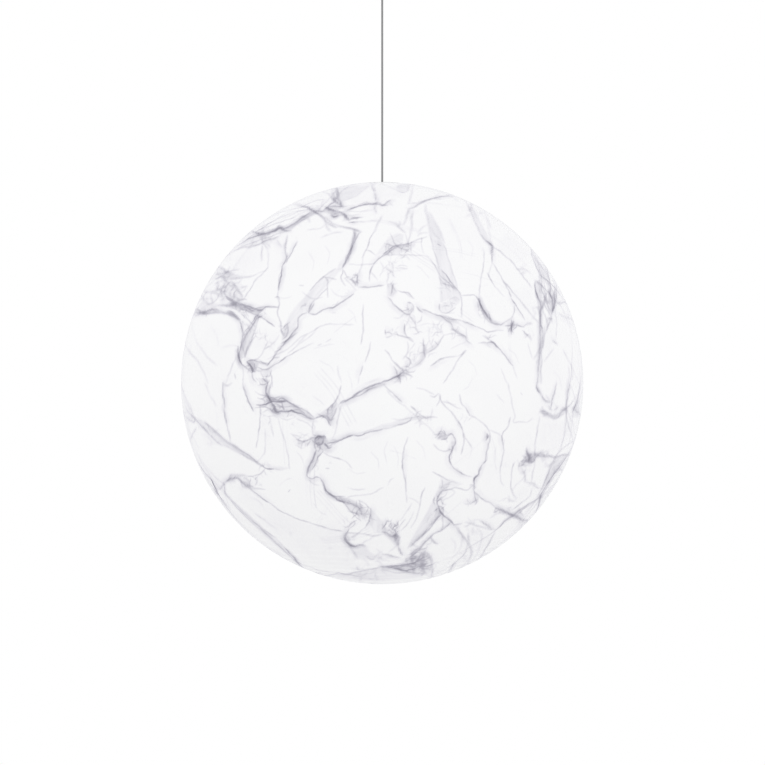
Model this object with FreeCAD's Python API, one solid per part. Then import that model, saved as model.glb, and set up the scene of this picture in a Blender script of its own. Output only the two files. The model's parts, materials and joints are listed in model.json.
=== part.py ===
"""Globe pendant lamp: a veined translucent sphere that hangs from the ceiling on one thin cord.

The lamp hangs below the origin, which is the centre of the ceiling plate's upper face. +Z is up.
From the top: a ceiling plate inside a shallow canopy cup, a gland that holds the cord by a ball, the
cord, a loose cap over the globe's opening, a bridge bar that carries the globe from inside, and a
lampholder with its bulb at the globe's middle. Nearly every piece is turned about the Z axis.
All sizes are in millimetres.
"""
import FreeCAD, Part
import math
import os

Vector = FreeCAD.Vector
ORIGIN = Vector(0, 0, 0)
UP = Vector(0, 0, 1)
ALONG_X = Vector(1, 0, 0)
ALONG_Y = Vector(0, 1, 0)

# ---------------------------------------------------------------- driving sizes

# globe
globe_diameter = 700.0
globe_wall = 1.2
seat_drop = 2.6            # the flat round the opening lies this far below the sphere's pole
foot_drop = 1.2            # the small flat at the bottom pole
ring_width = 9.0
ring_thickness = 2.5

# cap over the opening
cap_overlap = 4.5          # past the opening's edge
cap_thickness = 1.0
cap_edge = 0.4
grommet_wall = 2.6
grommet_lip = 1.5
grommet_lip_height = 0.6
grommet_depth = 1.6        # below the cap's underside

# cord
cord_diameter = 3.5
cord_free_length = 345.0   # from the gland's mouth to the cap
core_diameter = 1.4

# bridge bar and hub
bar_inset = 0.5            # from the rim ring's outer edge, at each end
bar_width = 14.0
bar_thickness = 3.0
pad_thickness = 2.0
pad_length = 7.5
thread_diameter = 10.0
hub_head_lip = 3.5         # past the thread, all round
hub_head_height = 2.0
hub_washer_margin = 2.0    # past the nut's flats
hub_washer_height = 1.0
hub_nut_wall = 2.0
hub_nut_height = 5.0
hub_thread_below = 7.0     # thread that stands out below the nut
grip_wall = 3.0
grip_height = 14.0
grip_overlap = 6.0         # thread inside the grip
grip_screw_diameter = 4.0
grip_chamfer = 1.0

# canopy
canopy_diameter = 110.0
canopy_height = 28.0
canopy_wall = 2.0
canopy_round = 4.0
canopy_inner_round = 2.0
shadow_gap = 0.5           # between the ceiling and the cup's rim
thumb_screw_count = 3
thumb_screw_diameter = 4.0
thumb_head_diameter = 8.0
thumb_head_length = 5.0
thumb_flutes = 18
thumb_flute_radius = 0.45
thumb_screw_drop = 7.5     # below the ceiling
thumb_neck = 1.0           # of the shank, inside the head
boss_wall = 2.0
boss_length = 3.5

# ceiling plate
plate_play = 1.5           # between the plate's skirt and the screw bosses
plate_thickness = 2.0
plate_skirt_height = 14.0
plate_skirt_wall = 2.0
slot_spacing = 60.0
slot_length = 14.0
slot_width = 5.0
cable_hole_diameter = 20.0

# gland and load ball
gland_lip = 2.5            # of the flange, past the stem
gland_drop = 6.0           # below the cup
gland_round = 2.0
gland_wall = 2.8           # round the ball
gland_stem_height = 14.5   # above the cup's outer floor
gland_washer_margin = 0.5  # past the nut's flats
gland_washer_height = 1.0
gland_nut_wall = 3.5
gland_nut_height = 4.0
ball_diameter = 9.0
ball_bore_depth = 3.0
pivot_depth = 10.5         # ball centre above the gland's mouth
swing_angle = 12.0         # the cord's swing each way, about X and about Y, degrees
mouth_spare = 2.0          # degrees between the swung cord and the flare

# terminal block
block_length = 20.0        # along X
block_width = 16.0         # along Y
block_height = 14.0
tunnel_height = 9.0        # of the wire tunnels, above the cup's floor
block_distance = 16.0      # from the lamp's axis to the block's near face
block_round = 1.0
pole_spacing = 10.0
insert_diameter = 5.0
insert_bore = 2.8
insert_recess = 1.0        # of each insert's end, inside its tunnel
terminal_screw_diameter = 3.0
terminal_screw_pitch = 8.0
terminal_screw_recess = 1.0  # of the screw's head, inside its well
screw_slot = 0.6
rib_thickness = 1.5
rib_height = 8.0
lead_straight = 2.0        # rise of the leads above the gland's rim before they bend
lead_crest = 6.0           # of the leads' highest point, above the gland's rim
lead_first_bend = 4.0      # from the lamp's axis, along Y
lead_last_bend = 9.5       # from the lamp's axis, along Y
lead_last_drop = 0.5       # of the last bend, below the crest
lead_end = 7.0             # of each core, inside its insert

# lampholder for a 27 mm screw base
holder_diameter = 41.0
holder_skirt_wall = 2.5
holder_lip_round = 1.5
holder_lip_height = 2.0    # of the skirt's turned-in lower edge
holder_skirt_below = 26.0  # below the bulb's contact
holder_body_above = 8.0    # above the bulb's contact
holder_cap_height = 26.0
holder_neck_wall = 3.0
holder_neck_height = 6.0
holder_wall = 2.0
holder_wiring_height = 13.0  # from the ceramic insert to the cord's end
clamp_wall = 2.0           # past the thread
clamp_height = 12.0
clamp_screw_diameter = 3.0
insert_height = 9.0        # ceramic insert
insert_chamfer = 1.0
collar_below = 1.0         # of the insert's collar, below the bulb's contact
shell_wall = 0.5
shell_below = 21.0         # below the bulb's contact
shell_lip = 1.0            # plain edge below the thread
core_straight_above = 4.3  # of the stripped cores, below the cord's end
core_straight_below = 3.6  # of the stripped cores, above the ceramic insert
contact_width = 7.0
contact_thickness = 0.6
contact_lift = 2.4
contact_run = 6.5          # from the lamp's axis to each stripped core
contact_hook = 0.8         # rise of the spring's free end
side_contact_width = 5.0

# bulb
bulb_diameter = 60.0
bulb_length = 110.0
bulb_passage = 1.5         # clearance round the bulb in the globe's opening
base_diameter = 26.1
base_height = 23.0
base_wall = 0.6
thread_pitch = 3.63
thread_turns = 5
thread_depth = 0.85
hem_height = 2.0           # plain edge of the screw base, below its thread
hem_step = 0.5             # of that edge, inside the thread's crest
hem_slope = 1.0            # height from that edge to the thread
tip_diameter = 9.0
tip_height = 1.2
tip_step = 0.5             # of the contact, inside the insulator's edge
insulator_height = 3.0
insulator_root = 2.0       # inside the screw base
housing_height = 36.0
housing_wall = 1.5
housing_root = 6.0         # of the housing's collar, inside the screw base
housing_neck = 3.0         # straight part below the screw base
housing_neck_inside = 4.0
rim_step = 2.0             # of the joint between housing and dome, inside the bulb's widest part
dome_lead = 0.5            # how far the dome stands out of a straight line just below that joint
diffuser_wall = 1.2
board_thickness = 1.6
light_centre_depth = 75.0  # from the bulb's tip to the middle of its light
pole_flat = 0.6            # radius of the flat where a dome closes on its axis

# clearances
slip = 0.1                 # between pieces of one body
running = 0.2              # between pieces that move on each other
cord_play = 0.35           # round the cord where it runs free
tip_gap = 0.3              # between the end of a wire or spring and what it meets

# ---------------------------------------------------------------- levels, from the ceiling down

plate_diameter = canopy_diameter - 2 * (canopy_wall + boss_length + plate_play)
cord_radius = cord_diameter / 2
core_radius = core_diameter / 2
globe_radius = globe_diameter / 2
opening_radius = bulb_diameter / 2 + bulb_passage
cap_radius = opening_radius + cap_overlap
bar_half_length = opening_radius + ring_width - bar_inset
thread_radius = thread_diameter / 2
ball_radius = ball_diameter / 2
gland_seat_radius = ball_radius + running
gland_stem_radius = gland_seat_radius + gland_wall
mouth_slope = math.tan(math.acos(math.cos(math.radians(swing_angle)) ** 2) + math.radians(mouth_spare))

cup_rim = -shadow_gap
cup_underside = cup_rim - canopy_height
cup_floor = cup_underside + canopy_wall
gland_mouth = cup_underside - gland_drop
pivot = gland_mouth + pivot_depth
cap_top = gland_mouth - cord_free_length
cap_underside = cap_top - cap_thickness
seat_level = cap_underside - running
globe_centre = seat_level + seat_drop - globe_radius
ring_underside = seat_level - globe_wall - ring_thickness
bar_top = ring_underside - running - pad_thickness
bar_underside = bar_top - bar_thickness
hub_nut_underside = bar_underside - hub_washer_height - hub_nut_height
hub_end = hub_nut_underside - hub_thread_below
grip_top = hub_end + grip_overlap
grip_underside = grip_top - grip_height
bulb_tip = globe_centre + light_centre_depth
insert_underside = bulb_tip + contact_lift + contact_thickness
insert_top = insert_underside + insert_height
holder_body_top = bulb_tip + holder_body_above
holder_cap_top = holder_body_top + holder_cap_height
clamp_top = holder_cap_top + clamp_height
cord_end = insert_top + holder_wiring_height


# ---------------------------------------------------------------- shape helpers

def in_profile(point):
    """A (radius, height) pair as a point of the XZ plane."""
    return Vector(point[0], 0, point[1])


def turned(start, *steps):
    """A solid turned about Z. A step is a point for a line, or (middle, end) for an arc."""
    edges = []
    here = start
    for step in steps:
        if isinstance(step[0], tuple):
            middle, end = step
            edges.append(Part.Arc(in_profile(here), in_profile(middle), in_profile(end)).toShape())
        else:
            end = step
            edges.append(Part.makeLine(in_profile(here), in_profile(end)))
        here = end
    if here != start:
        edges.append(Part.makeLine(in_profile(here), in_profile(start)))
    return Part.Face(Part.Wire(edges)).revolve(ORIGIN, UP, 360)


def on_circle(centre, radius, degrees):
    """The (radius, height) pair on a circle of the profile plane."""
    angle = math.radians(degrees)
    return (centre[0] + radius * math.cos(angle), centre[1] + radius * math.sin(angle))


def rounded(centre, radius, first, last):
    """An arc step from angle first to angle last, in degrees, for turned()."""
    return (on_circle(centre, radius, (first + last) / 2), on_circle(centre, radius, last))


def ring(outer, inner, low, high):
    """A plain ring, by radii and heights."""
    return turned((inner, low), (outer, low), (outer, high), (inner, high))


def rod(radius, low, high):
    """A plain upright cylinder."""
    return Part.makeCylinder(radius, high - low, Vector(0, 0, low), UP)


def hex_nut(across, bore, low, high):
    """A hexagon nut about Z."""
    corner = across / math.sqrt(3)
    points = [Vector(corner * math.cos(math.radians(60 * k)), corner * math.sin(math.radians(60 * k)), low)
              for k in range(7)]
    body = Part.Face(Part.makePolygon(points)).extrude(UP * (high - low))
    return body.cut(rod(bore, low, high))


def box(low, high):
    """A box between two corners."""
    size = Vector(*high) - Vector(*low)
    return Part.makeBox(size.x, size.y, size.z, Vector(*low))


def around(shape, count):
    """Copies of a shape, evenly spaced about Z."""
    copies = []
    for k in range(count):
        copy = shape.copy()
        copy.rotate(ORIGIN, UP, 360.0 * k / count)
        copies.append(copy)
    return copies


def bent_wire(points, radius):
    """A round wire along points, straight runs joined by tangent arcs as large as the runs allow."""
    nodes = [Vector(*p) for p in points]
    edges = []
    bends = []
    here = nodes[0]
    for before, corner, after in zip(nodes, nodes[1:], nodes[2:]):
        back = before - corner
        on = after - corner
        reach = 0.45 * min(back.Length, on.Length)
        back.normalize()
        on.normalize()
        start = corner + back * reach
        end = corner + on * reach
        half_turn = (math.pi - back.getAngle(on)) / 2
        bend = reach / math.tan(half_turn)
        bends.append(bend)
        inward = back + on
        inward.normalize()
        middle = corner + inward * (bend / math.cos(half_turn) - bend)
        edges.append(Part.makeLine(here, start))
        edges.append(Part.Arc(start, middle, end).toShape())
        here = end
    edges.append(Part.makeLine(here, nodes[-1]))
    path = Part.Wire(edges)
    section = Part.Wire(Part.makeCircle(radius, nodes[0], nodes[1] - nodes[0]))
    wire = path.makePipeShell([section], True, False)
    share = wire.Volume / (math.pi * radius ** 2 * path.Length)
    print(f"wire {path.Length:.1f} mm long, tightest bend {min(bends):.1f} mm, volume share {share:.4f}")
    return wire


def slotted(head_radius, low, high, width):
    """The cutter for a screwdriver slot across a head."""
    return box((-head_radius, -width / 2, low), (head_radius, width / 2, high))


# ---------------------------------------------------------------- ceiling plate

def make_ceiling_plate():
    """A pressed round plate with a turned-down skirt, two slots for screws and a cable hole."""
    outer = plate_diameter / 2
    under = -plate_thickness
    plate = turned((0, under), (outer - plate_skirt_wall, under),
                   (outer - plate_skirt_wall, -plate_skirt_height), (outer, -plate_skirt_height),
                   (outer, 0), (0, 0))
    plate = plate.cut(rod(cable_hole_diameter / 2, under, 0))
    half_straight = (slot_length - slot_width) / 2
    for side in (-1, 1):
        middle = side * slot_spacing / 2
        cutter = box((middle - half_straight, -slot_width / 2, under),
                     (middle + half_straight, slot_width / 2, 0))
        for end in (-1, 1):
            cutter = cutter.fuse(Part.makeCylinder(
                slot_width / 2, plate_thickness, Vector(middle + end * half_straight, 0, under), UP))
        plate = plate.cut(cutter)
    return plate


# ---------------------------------------------------------------- canopy

def make_canopy_cup():
    """The cup that hides the wiring, with its thumb screw bosses and the ribs that hold the block."""
    outer = canopy_diameter / 2
    inner = outer - canopy_wall
    hole = gland_stem_radius + slip
    cup = turned((hole, cup_underside), (outer - canopy_round, cup_underside),
                 rounded((outer - canopy_round, cup_underside + canopy_round), canopy_round, -90, 0),
                 (outer, cup_rim), (inner, cup_rim), (inner, cup_floor + canopy_inner_round),
                 rounded((inner - canopy_inner_round, cup_floor + canopy_inner_round),
                         canopy_inner_round, 0, -90),
                 (hole, cup_floor))
    screw_level = -thumb_screw_drop
    boss = Part.makeCylinder(thumb_screw_diameter / 2 + boss_wall, boss_length + canopy_wall / 2,
                             Vector(inner - boss_length, 0, screw_level), ALONG_X)
    bore = Part.makeCylinder(thumb_screw_diameter / 2 + slip, boss_length + 2 * canopy_wall,
                             Vector(inner - boss_length, 0, screw_level), ALONG_X)
    cup = cup.fuse(around(boss, thumb_screw_count)).cut(around(bore, thumb_screw_count))
    rib_side = block_length / 2 + slip
    for side in (-1, 1):
        low_x = min(side * rib_side, side * (rib_side + rib_thickness))
        cup = cup.fuse(box((low_x, block_distance, cup_floor - canopy_wall / 2),
                           (low_x + rib_thickness, block_distance + block_width, cup_floor + rib_height)))
    return cup.removeSplitter()


def make_thumb_screws():
    """Fluted screws through the cup's wall, whose ends press on the ceiling plate's skirt."""
    level = -thumb_screw_drop
    outer = canopy_diameter / 2
    head_radius = thumb_head_diameter / 2
    tip = plate_diameter / 2 + slip
    head_start = outer + slip
    head = Part.makeCylinder(head_radius, thumb_head_length, Vector(head_start, 0, level), ALONG_X)
    for k in range(thumb_flutes):
        angle = math.radians(360.0 * k / thumb_flutes)
        head = head.cut(Part.makeCylinder(thumb_flute_radius, thumb_head_length,
                                          Vector(head_start, head_radius * math.cos(angle),
                                                 level + head_radius * math.sin(angle)), ALONG_X))
    shank = Part.makeCylinder(thumb_screw_diameter / 2, head_start + thumb_neck - tip,
                              Vector(tip, 0, level), ALONG_X)
    screw = shank.fuse(head).removeSplitter()
    return Part.makeCompound(around(screw, thumb_screw_count))


def make_cord_gland():
    """The turned holder of the load ball: a round seat, and a flared mouth in which the cord swings."""
    seat_radius = gland_seat_radius
    stem = gland_stem_radius
    flange = stem + gland_lip
    slope = mouth_slope
    throat_start = cord_radius + cord_play
    # the flare r = throat_start + slope * depth meets the seat's circle at throat_depth
    a = 1 + slope ** 2
    b = 2 * throat_start * slope
    c = throat_start ** 2 - seat_radius ** 2
    throat_depth = (-b + math.sqrt(b ** 2 - 4 * a * c)) / (2 * a)
    throat_radius = throat_start + slope * throat_depth
    throat_angle = -math.degrees(math.atan2(throat_depth, throat_radius))
    mouth_radius = throat_start + slope * pivot_depth
    gland_top = cup_underside + gland_stem_height
    return turned((mouth_radius, gland_mouth), (flange - gland_round, gland_mouth),
                  rounded((flange - gland_round, gland_mouth + gland_round), gland_round, -90, 0),
                  (flange, cup_underside), (stem, cup_underside), (stem, gland_top),
                  (seat_radius, gland_top), (seat_radius, pivot),
                  (on_circle((0, pivot), seat_radius, throat_angle / 2),
                   (throat_radius, pivot - throat_depth)))


def make_gland_washer():
    return ring(gland_stem_radius + gland_nut_wall + gland_washer_margin, gland_stem_radius + slip,
                cup_floor, cup_floor + gland_washer_height)


def make_gland_nut():
    low = cup_floor + gland_washer_height
    return hex_nut(2 * (gland_stem_radius + gland_nut_wall), gland_stem_radius + slip,
                   low, low + gland_nut_height)


def make_cord_ball():
    """The ball crimped on the cord's end. It rests in the gland's seat and carries the lamp."""
    ball = Part.makeSphere(ball_radius, Vector(0, 0, pivot))
    return ball.cut(rod(cord_radius, pivot + ball_radius - ball_bore_depth, pivot + ball_radius))


# ---------------------------------------------------------------- terminal block and leads

block_floor = cup_floor
block_top = block_floor + block_height
wire_level = block_floor + tunnel_height


def make_terminal_block():
    """The insulating block, with a wire tunnel and two screw wells for each pole."""
    block = box((-block_length / 2, block_distance, block_floor),
                (block_length / 2, block_distance + block_width, block_top))
    block = block.makeFillet(block_round, [e for e in block.Edges if abs(e.tangentAt(0).z) > 0.99])
    for side in (-1, 1):
        x = side * pole_spacing / 2
        block = block.cut(Part.makeCylinder(insert_diameter / 2 + slip, block_width,
                                            Vector(x, block_distance, wire_level), ALONG_Y))
        for y in screw_places():
            block = block.cut(Part.makeCylinder(terminal_screw_diameter / 2 + slip, block_top - wire_level,
                                                Vector(x, y, wire_level), UP))
    return block


def screw_places():
    middle = block_distance + block_width / 2
    return (middle - terminal_screw_pitch / 2, middle + terminal_screw_pitch / 2)


def make_terminal_inserts():
    """Two brass tubes that join the cord's cores to the house wiring."""
    inserts = []
    for side in (-1, 1):
        x = side * pole_spacing / 2
        tube = Part.makeCylinder(insert_diameter / 2, block_width - 2 * insert_recess,
                                 Vector(x, block_distance + insert_recess, wire_level), ALONG_Y)
        tube = tube.cut(Part.makeCylinder(insert_bore / 2, block_width, Vector(x, block_distance, wire_level),
                                          ALONG_Y))
        for y in screw_places():
            tube = tube.cut(Part.makeCylinder(terminal_screw_diameter / 2 + slip, insert_diameter,
                                              Vector(x, y, wire_level), UP))
        inserts.append(tube)
    return Part.makeCompound(inserts)


def make_terminal_screws():
    screws = []
    low = wire_level + core_radius + slip
    high = block_top - terminal_screw_recess
    for side in (-1, 1):
        for y in screw_places():
            screw = rod(terminal_screw_diameter / 2, low, high)
            screw = screw.cut(slotted(terminal_screw_diameter / 2, high - screw_slot, high, screw_slot))
            screw.translate(Vector(side * pole_spacing / 2, y, 0))
            screws.append(screw)
    return Part.makeCompound(screws)


def make_canopy_lead(side):
    """One core of the cord, from the ball's bore over the gland's rim to its pole of the block."""
    start = pivot + ball_radius + tip_gap
    rim = cup_underside + gland_stem_height
    first = side * (core_radius + slip)
    pole = side * pole_spacing / 2
    crest = rim + lead_crest
    return bent_wire([(first, 0, start), (first, 0, rim + lead_straight),
                      (1.4 * first, lead_first_bend, crest),
                      (0.6 * pole, lead_last_bend, crest - lead_last_drop),
                      (pole, block_distance, wire_level),
                      (pole, block_distance + lead_end, wire_level)], core_radius)


# ---------------------------------------------------------------- cord

def make_suspension_cord():
    """The load-bearing cord, straight under the lamp's weight, from the ball to the lampholder."""
    cord = rod(cord_radius, cord_end, pivot)
    return cord.cut(Part.makeSphere(ball_radius + running, Vector(0, 0, pivot)))


# ---------------------------------------------------------------- cap

def make_top_cap():
    """The thin disc that lies over the opening and lifts along the cord."""
    hole = cord_radius + running + grommet_wall + slip
    edge = (cap_radius - cap_edge, cap_top - cap_edge)
    return turned((hole, cap_underside), (cap_radius, cap_underside), (cap_radius, cap_top - cap_edge),
                  rounded(edge, cap_edge, 0, 90), (hole, cap_top))


def make_cap_grommet():
    """The soft bush that guides the cap on the cord."""
    bore = cord_radius + running
    body = bore + grommet_wall
    lip = body + grommet_lip
    return turned((bore, cap_underside - grommet_depth), (body, cap_underside - grommet_depth),
                  (body, cap_top), (lip, cap_top), (lip - grommet_lip_height, cap_top + grommet_lip_height),
                  (bore, cap_top + grommet_lip_height))


# ---------------------------------------------------------------- globe

def chord(radius, drop):
    """The radius of the flat that a plane cuts, drop below a sphere's pole."""
    return math.sqrt(2 * radius * drop - drop ** 2)


def make_globe_shell():
    """The thin sphere, with a flat seat round its opening and a small flat at its lower pole."""
    inner_radius = globe_radius - globe_wall
    foot = globe_centre - globe_radius + foot_drop
    return turned((opening_radius, seat_level), (chord(globe_radius, seat_drop), seat_level),
                  ((globe_radius, globe_centre), (chord(globe_radius, foot_drop), foot)),
                  (0, foot), (0, foot + globe_wall),
                  (chord(inner_radius, foot_drop), foot + globe_wall),
                  ((inner_radius, globe_centre),
                   (chord(inner_radius, seat_drop), seat_level - globe_wall)),
                  (opening_radius, seat_level - globe_wall))


def make_rim_ring():
    """The clear ring glued under the opening's edge, which takes the globe's weight."""
    return ring(opening_radius + ring_width, opening_radius, ring_underside, ring_underside + ring_thickness)


# ---------------------------------------------------------------- bridge bar and hub

def make_bridge_bar():
    """The steel bar that spans the opening from inside. It goes in lengthwise."""
    half = bar_half_length
    bar = box((-half, -bar_width / 2, bar_underside), (half, bar_width / 2, bar_top))
    bar = bar.makeFillet(bar_width / 3, [e for e in bar.Edges if abs(e.tangentAt(0).z) > 0.99])
    return bar.cut(rod(thread_radius + slip, bar_underside, bar_top))


def make_bar_pads():
    """Two soft pads between the bar's ends and the rim ring."""
    half = bar_half_length
    outline = box((-half, -bar_width / 2, bar_top), (half, bar_width / 2, bar_top + pad_thickness))
    outline = outline.makeFillet(bar_width / 3, [e for e in outline.Edges if abs(e.tangentAt(0).z) > 0.99])
    pads = []
    for side in (-1, 1):
        near = side * (half - pad_length)
        far = side * half
        pads.append(outline.common(box((min(near, far), -bar_width, bar_top),
                                       (max(near, far), bar_width, bar_top + pad_thickness))))
    return Part.makeCompound(pads)


def make_hub_nipple():
    """The flanged threaded tube through the bar. The cord runs down its bore."""
    bore = cord_radius + cord_play
    head = thread_radius + hub_head_lip
    return turned((bore, hub_end), (thread_radius, hub_end), (thread_radius, bar_top), (head, bar_top),
                  (head, bar_top + hub_head_height / 2),
                  (head - hub_head_height / 2, bar_top + hub_head_height),
                  (bore, bar_top + hub_head_height))


def make_hub_washer():
    return ring(thread_radius + hub_nut_wall + hub_washer_margin, thread_radius + slip,
                bar_underside - hub_washer_height, bar_underside)


def make_hub_nut():
    return hex_nut(2 * (thread_radius + hub_nut_wall), thread_radius + slip,
                   hub_nut_underside, bar_underside - hub_washer_height)


def make_cord_grip():
    """The collar on the hub's thread. Its side screw pinches the cord and so carries the globe."""
    outer = thread_radius + grip_wall
    narrow = cord_radius + slip
    wide = thread_radius + slip
    grip = turned((narrow, grip_underside), (outer - grip_chamfer, grip_underside),
                  (outer, grip_underside + grip_chamfer), (outer, grip_top), (wide, grip_top),
                  (wide, hub_end - slip), (narrow, hub_end - slip))
    return grip.cut(Part.makeCylinder(grip_screw_diameter / 2 + slip, outer,
                                      Vector(0, 0, grip_screw_level), ALONG_X))


grip_screw_level = (grip_underside + hub_end) / 2


def make_grip_screw():
    """A grub screw whose end rests on the cord."""
    start = cord_radius + slip
    end = thread_radius + grip_wall
    screw = Part.makeCylinder(grip_screw_diameter / 2, end - start,
                              Vector(start, 0, grip_screw_level), ALONG_X)
    return screw.cut(box((end - 2 * screw_slot, -screw_slot / 2, grip_screw_level - grip_screw_diameter),
                         (end, screw_slot / 2, grip_screw_level + grip_screw_diameter)))


# ---------------------------------------------------------------- lampholder

shell_inner = base_diameter / 2 + running
shell_outer = shell_inner + shell_wall
holder_radius = holder_diameter / 2
ceramic_radius = holder_radius - holder_skirt_wall - slip


def make_holder_body():
    """The lower half of the casing: a skirt round the threaded shell."""
    inner = holder_radius - holder_skirt_wall
    low = bulb_tip - holder_skirt_below
    lip = shell_outer + slip
    corner = (holder_radius - holder_lip_round, low + holder_lip_round)
    return turned((lip, low), (holder_radius - holder_lip_round, low),
                  rounded(corner, holder_lip_round, -90, 0),
                  (holder_radius, holder_body_top), (inner, holder_body_top),
                  (inner, low + holder_lip_height), (lip, low + holder_lip_height))


def make_holder_cap():
    """The upper half of the casing: a dome with a threaded neck for the clamp."""
    inner = holder_radius - holder_skirt_wall
    bore = thread_radius + slip
    neck = bore + holder_neck_wall
    low = holder_body_top
    shoulder = low + 0.45 * holder_cap_height
    crown = holder_cap_top - holder_neck_height
    dome = (neck + 0.62 * (holder_radius - neck), shoulder + 0.62 * (crown - shoulder))
    dome_in = (dome[0] - 0.8 * holder_wall, dome[1] - 0.8 * holder_wall)
    return turned((inner, low), (holder_radius, low), (holder_radius, shoulder), (dome, (neck, crown)),
                  (neck, holder_cap_top), (bore, holder_cap_top), (bore, crown - holder_wall),
                  (dome_in, (inner, shoulder)))


def make_cord_clamp():
    """The bush screwed into the neck. Its side screw pinches the cord above the lampholder."""
    outer = thread_radius + clamp_wall
    bore = cord_radius + slip
    stem_low = holder_cap_top - holder_neck_height
    clamp = turned((bore, stem_low), (thread_radius, stem_low), (thread_radius, holder_cap_top),
                   (outer, holder_cap_top), (outer, clamp_top - clamp_wall),
                   (outer - clamp_wall, clamp_top), (bore, clamp_top))
    return clamp.cut(Part.makeCylinder(clamp_screw_diameter / 2 + slip, outer,
                                       Vector(0, 0, clamp_screw_level), ALONG_X))


clamp_screw_level = holder_cap_top + 0.4 * clamp_height


def make_clamp_screw():
    start = cord_radius + slip
    length = thread_radius + clamp_wall - start
    return Part.makeCylinder(clamp_screw_diameter / 2, length, Vector(start, 0, clamp_screw_level), ALONG_X)


def make_ceramic_insert():
    """The heat-proof disc that carries the contacts, with two wire holes."""
    body = turned((0, insert_underside), (ceramic_radius, insert_underside),
                  (ceramic_radius, insert_top - insert_chamfer),
                  (ceramic_radius - insert_chamfer, insert_top), (0, insert_top))
    collar = ring(ceramic_radius, shell_outer + slip, bulb_tip - collar_below, insert_underside)
    body = body.fuse(collar)
    for side in (-1, 1):
        body = body.cut(Part.makeCylinder(core_radius + slip, insert_height,
                                          Vector(0, side * contact_run, insert_underside), UP))
    return body.removeSplitter()


def make_threaded_shell():
    """The thin brass shell that takes the bulb's base. Its rolled rings stand for the thread."""
    low = bulb_tip - shell_below
    first = low + shell_lip
    steps = [(shell_outer, low), (shell_outer, first)]
    for k in range(thread_turns):
        start = first + k * thread_pitch
        steps.append(((shell_outer - shell_wall * 0.4, start + thread_pitch / 2),
                      (shell_outer, start + thread_pitch)))
    steps += [(shell_outer, insert_underside), (shell_inner, insert_underside)]
    return turned((shell_inner, low), *steps)


def make_centre_contact():
    """The bent spring that presses on the bulb's tip."""
    top = insert_underside
    low = bulb_tip + tip_gap
    bend = -0.45 * contact_run
    free = 0.35 * contact_run
    upper = [(-contact_run, top), (bend, top), (0, low + contact_thickness),
             (free, low + contact_thickness + contact_hook)]
    lower = [(free, low + contact_hook), (0, low), (bend, top - contact_thickness),
             (-contact_run, top - contact_thickness)]
    corners = [Vector(-contact_width / 2, y, z) for y, z in upper + lower]
    return Part.Face(Part.makePolygon(corners + corners[:1])).extrude(ALONG_X * contact_width)


def make_side_contact():
    """The flat strap from the other core to the threaded shell."""
    half = side_contact_width / 2
    reach = math.sqrt(shell_inner ** 2 - half ** 2) - slip
    return box((-half, contact_run - 2 * core_radius, insert_underside - contact_thickness),
               (half, reach, insert_underside))


def make_holder_lead(side):
    """One stripped core, from the cord's end down through the ceramic insert."""
    near = side * (core_radius + slip / 2)
    far = side * contact_run
    return bent_wire([(0, near, cord_end - slip), (0, near, cord_end - core_straight_above),
                      (0, far, insert_top + core_straight_below), (0, far, insert_underside + slip)],
                     core_radius)


# ---------------------------------------------------------------- bulb

base_radius = base_diameter / 2
base_top = bulb_tip - tip_height - insulator_height
base_low = base_top - base_height
housing_low = base_low - housing_height
bulb_low = bulb_tip - bulb_length
bulb_radius = bulb_diameter / 2
rim_radius = bulb_radius - rim_step


def make_bulb_base():
    """The screw base. Its rounded rings stand for the rolled thread."""
    root = base_radius - thread_depth
    inner = root - base_wall
    hem = base_radius - hem_step
    steps = [(hem, base_low), (hem, base_low + hem_height)]
    first = base_low + hem_height + hem_slope
    steps.append((root, first))
    for k in range(thread_turns):
        start = first + k * thread_pitch
        steps.append(((base_radius, start + thread_pitch / 2), (root, start + thread_pitch)))
    steps += [(root, base_top), (inner, base_top)]
    return turned((inner, base_low), *steps)


def make_bulb_insulator():
    """The black glass between the base and the tip contact."""
    wide = base_radius - thread_depth - base_wall - slip
    return turned((0, base_top - insulator_root), (wide, base_top - insulator_root), (wide, base_top),
                  (tip_diameter / 2, base_top + insulator_height), (0, base_top + insulator_height))


def make_bulb_tip():
    radius = tip_diameter / 2 - tip_step
    level = base_top + insulator_height
    edge = level + 0.3 * tip_height
    return turned((0, level), (radius, level), (radius, edge),
                  ((0.6 * radius, level + 0.86 * tip_height), (pole_flat, level + tip_height)),
                  (0, level + tip_height))


def make_bulb_housing():
    """The bulb's cone, from the base to its widest part."""
    root = base_radius - thread_depth - base_wall - slip
    neck = base_radius
    wide = rim_radius
    low = housing_low
    bulge = (neck + 0.66 * (wide - neck), base_low - 0.5 * housing_height)
    bulge_in = (bulge[0] - housing_wall, bulge[1] - housing_wall * 0.4)
    collar = base_low + housing_root
    return turned((root - housing_wall, collar), (root, collar), (root, base_low - slip),
                  (neck, base_low - slip), (neck, base_low - housing_neck), (bulge, (wide, low)),
                  (wide - housing_wall, low),
                  (bulge_in, (root - housing_wall, base_low - housing_neck_inside)))


def make_light_board():
    """The disc that carries the light chips. It closes the housing and lies inside the dome's edge."""
    return rod(rim_radius - diffuser_wall - slip, housing_low - board_thickness, housing_low)


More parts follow.
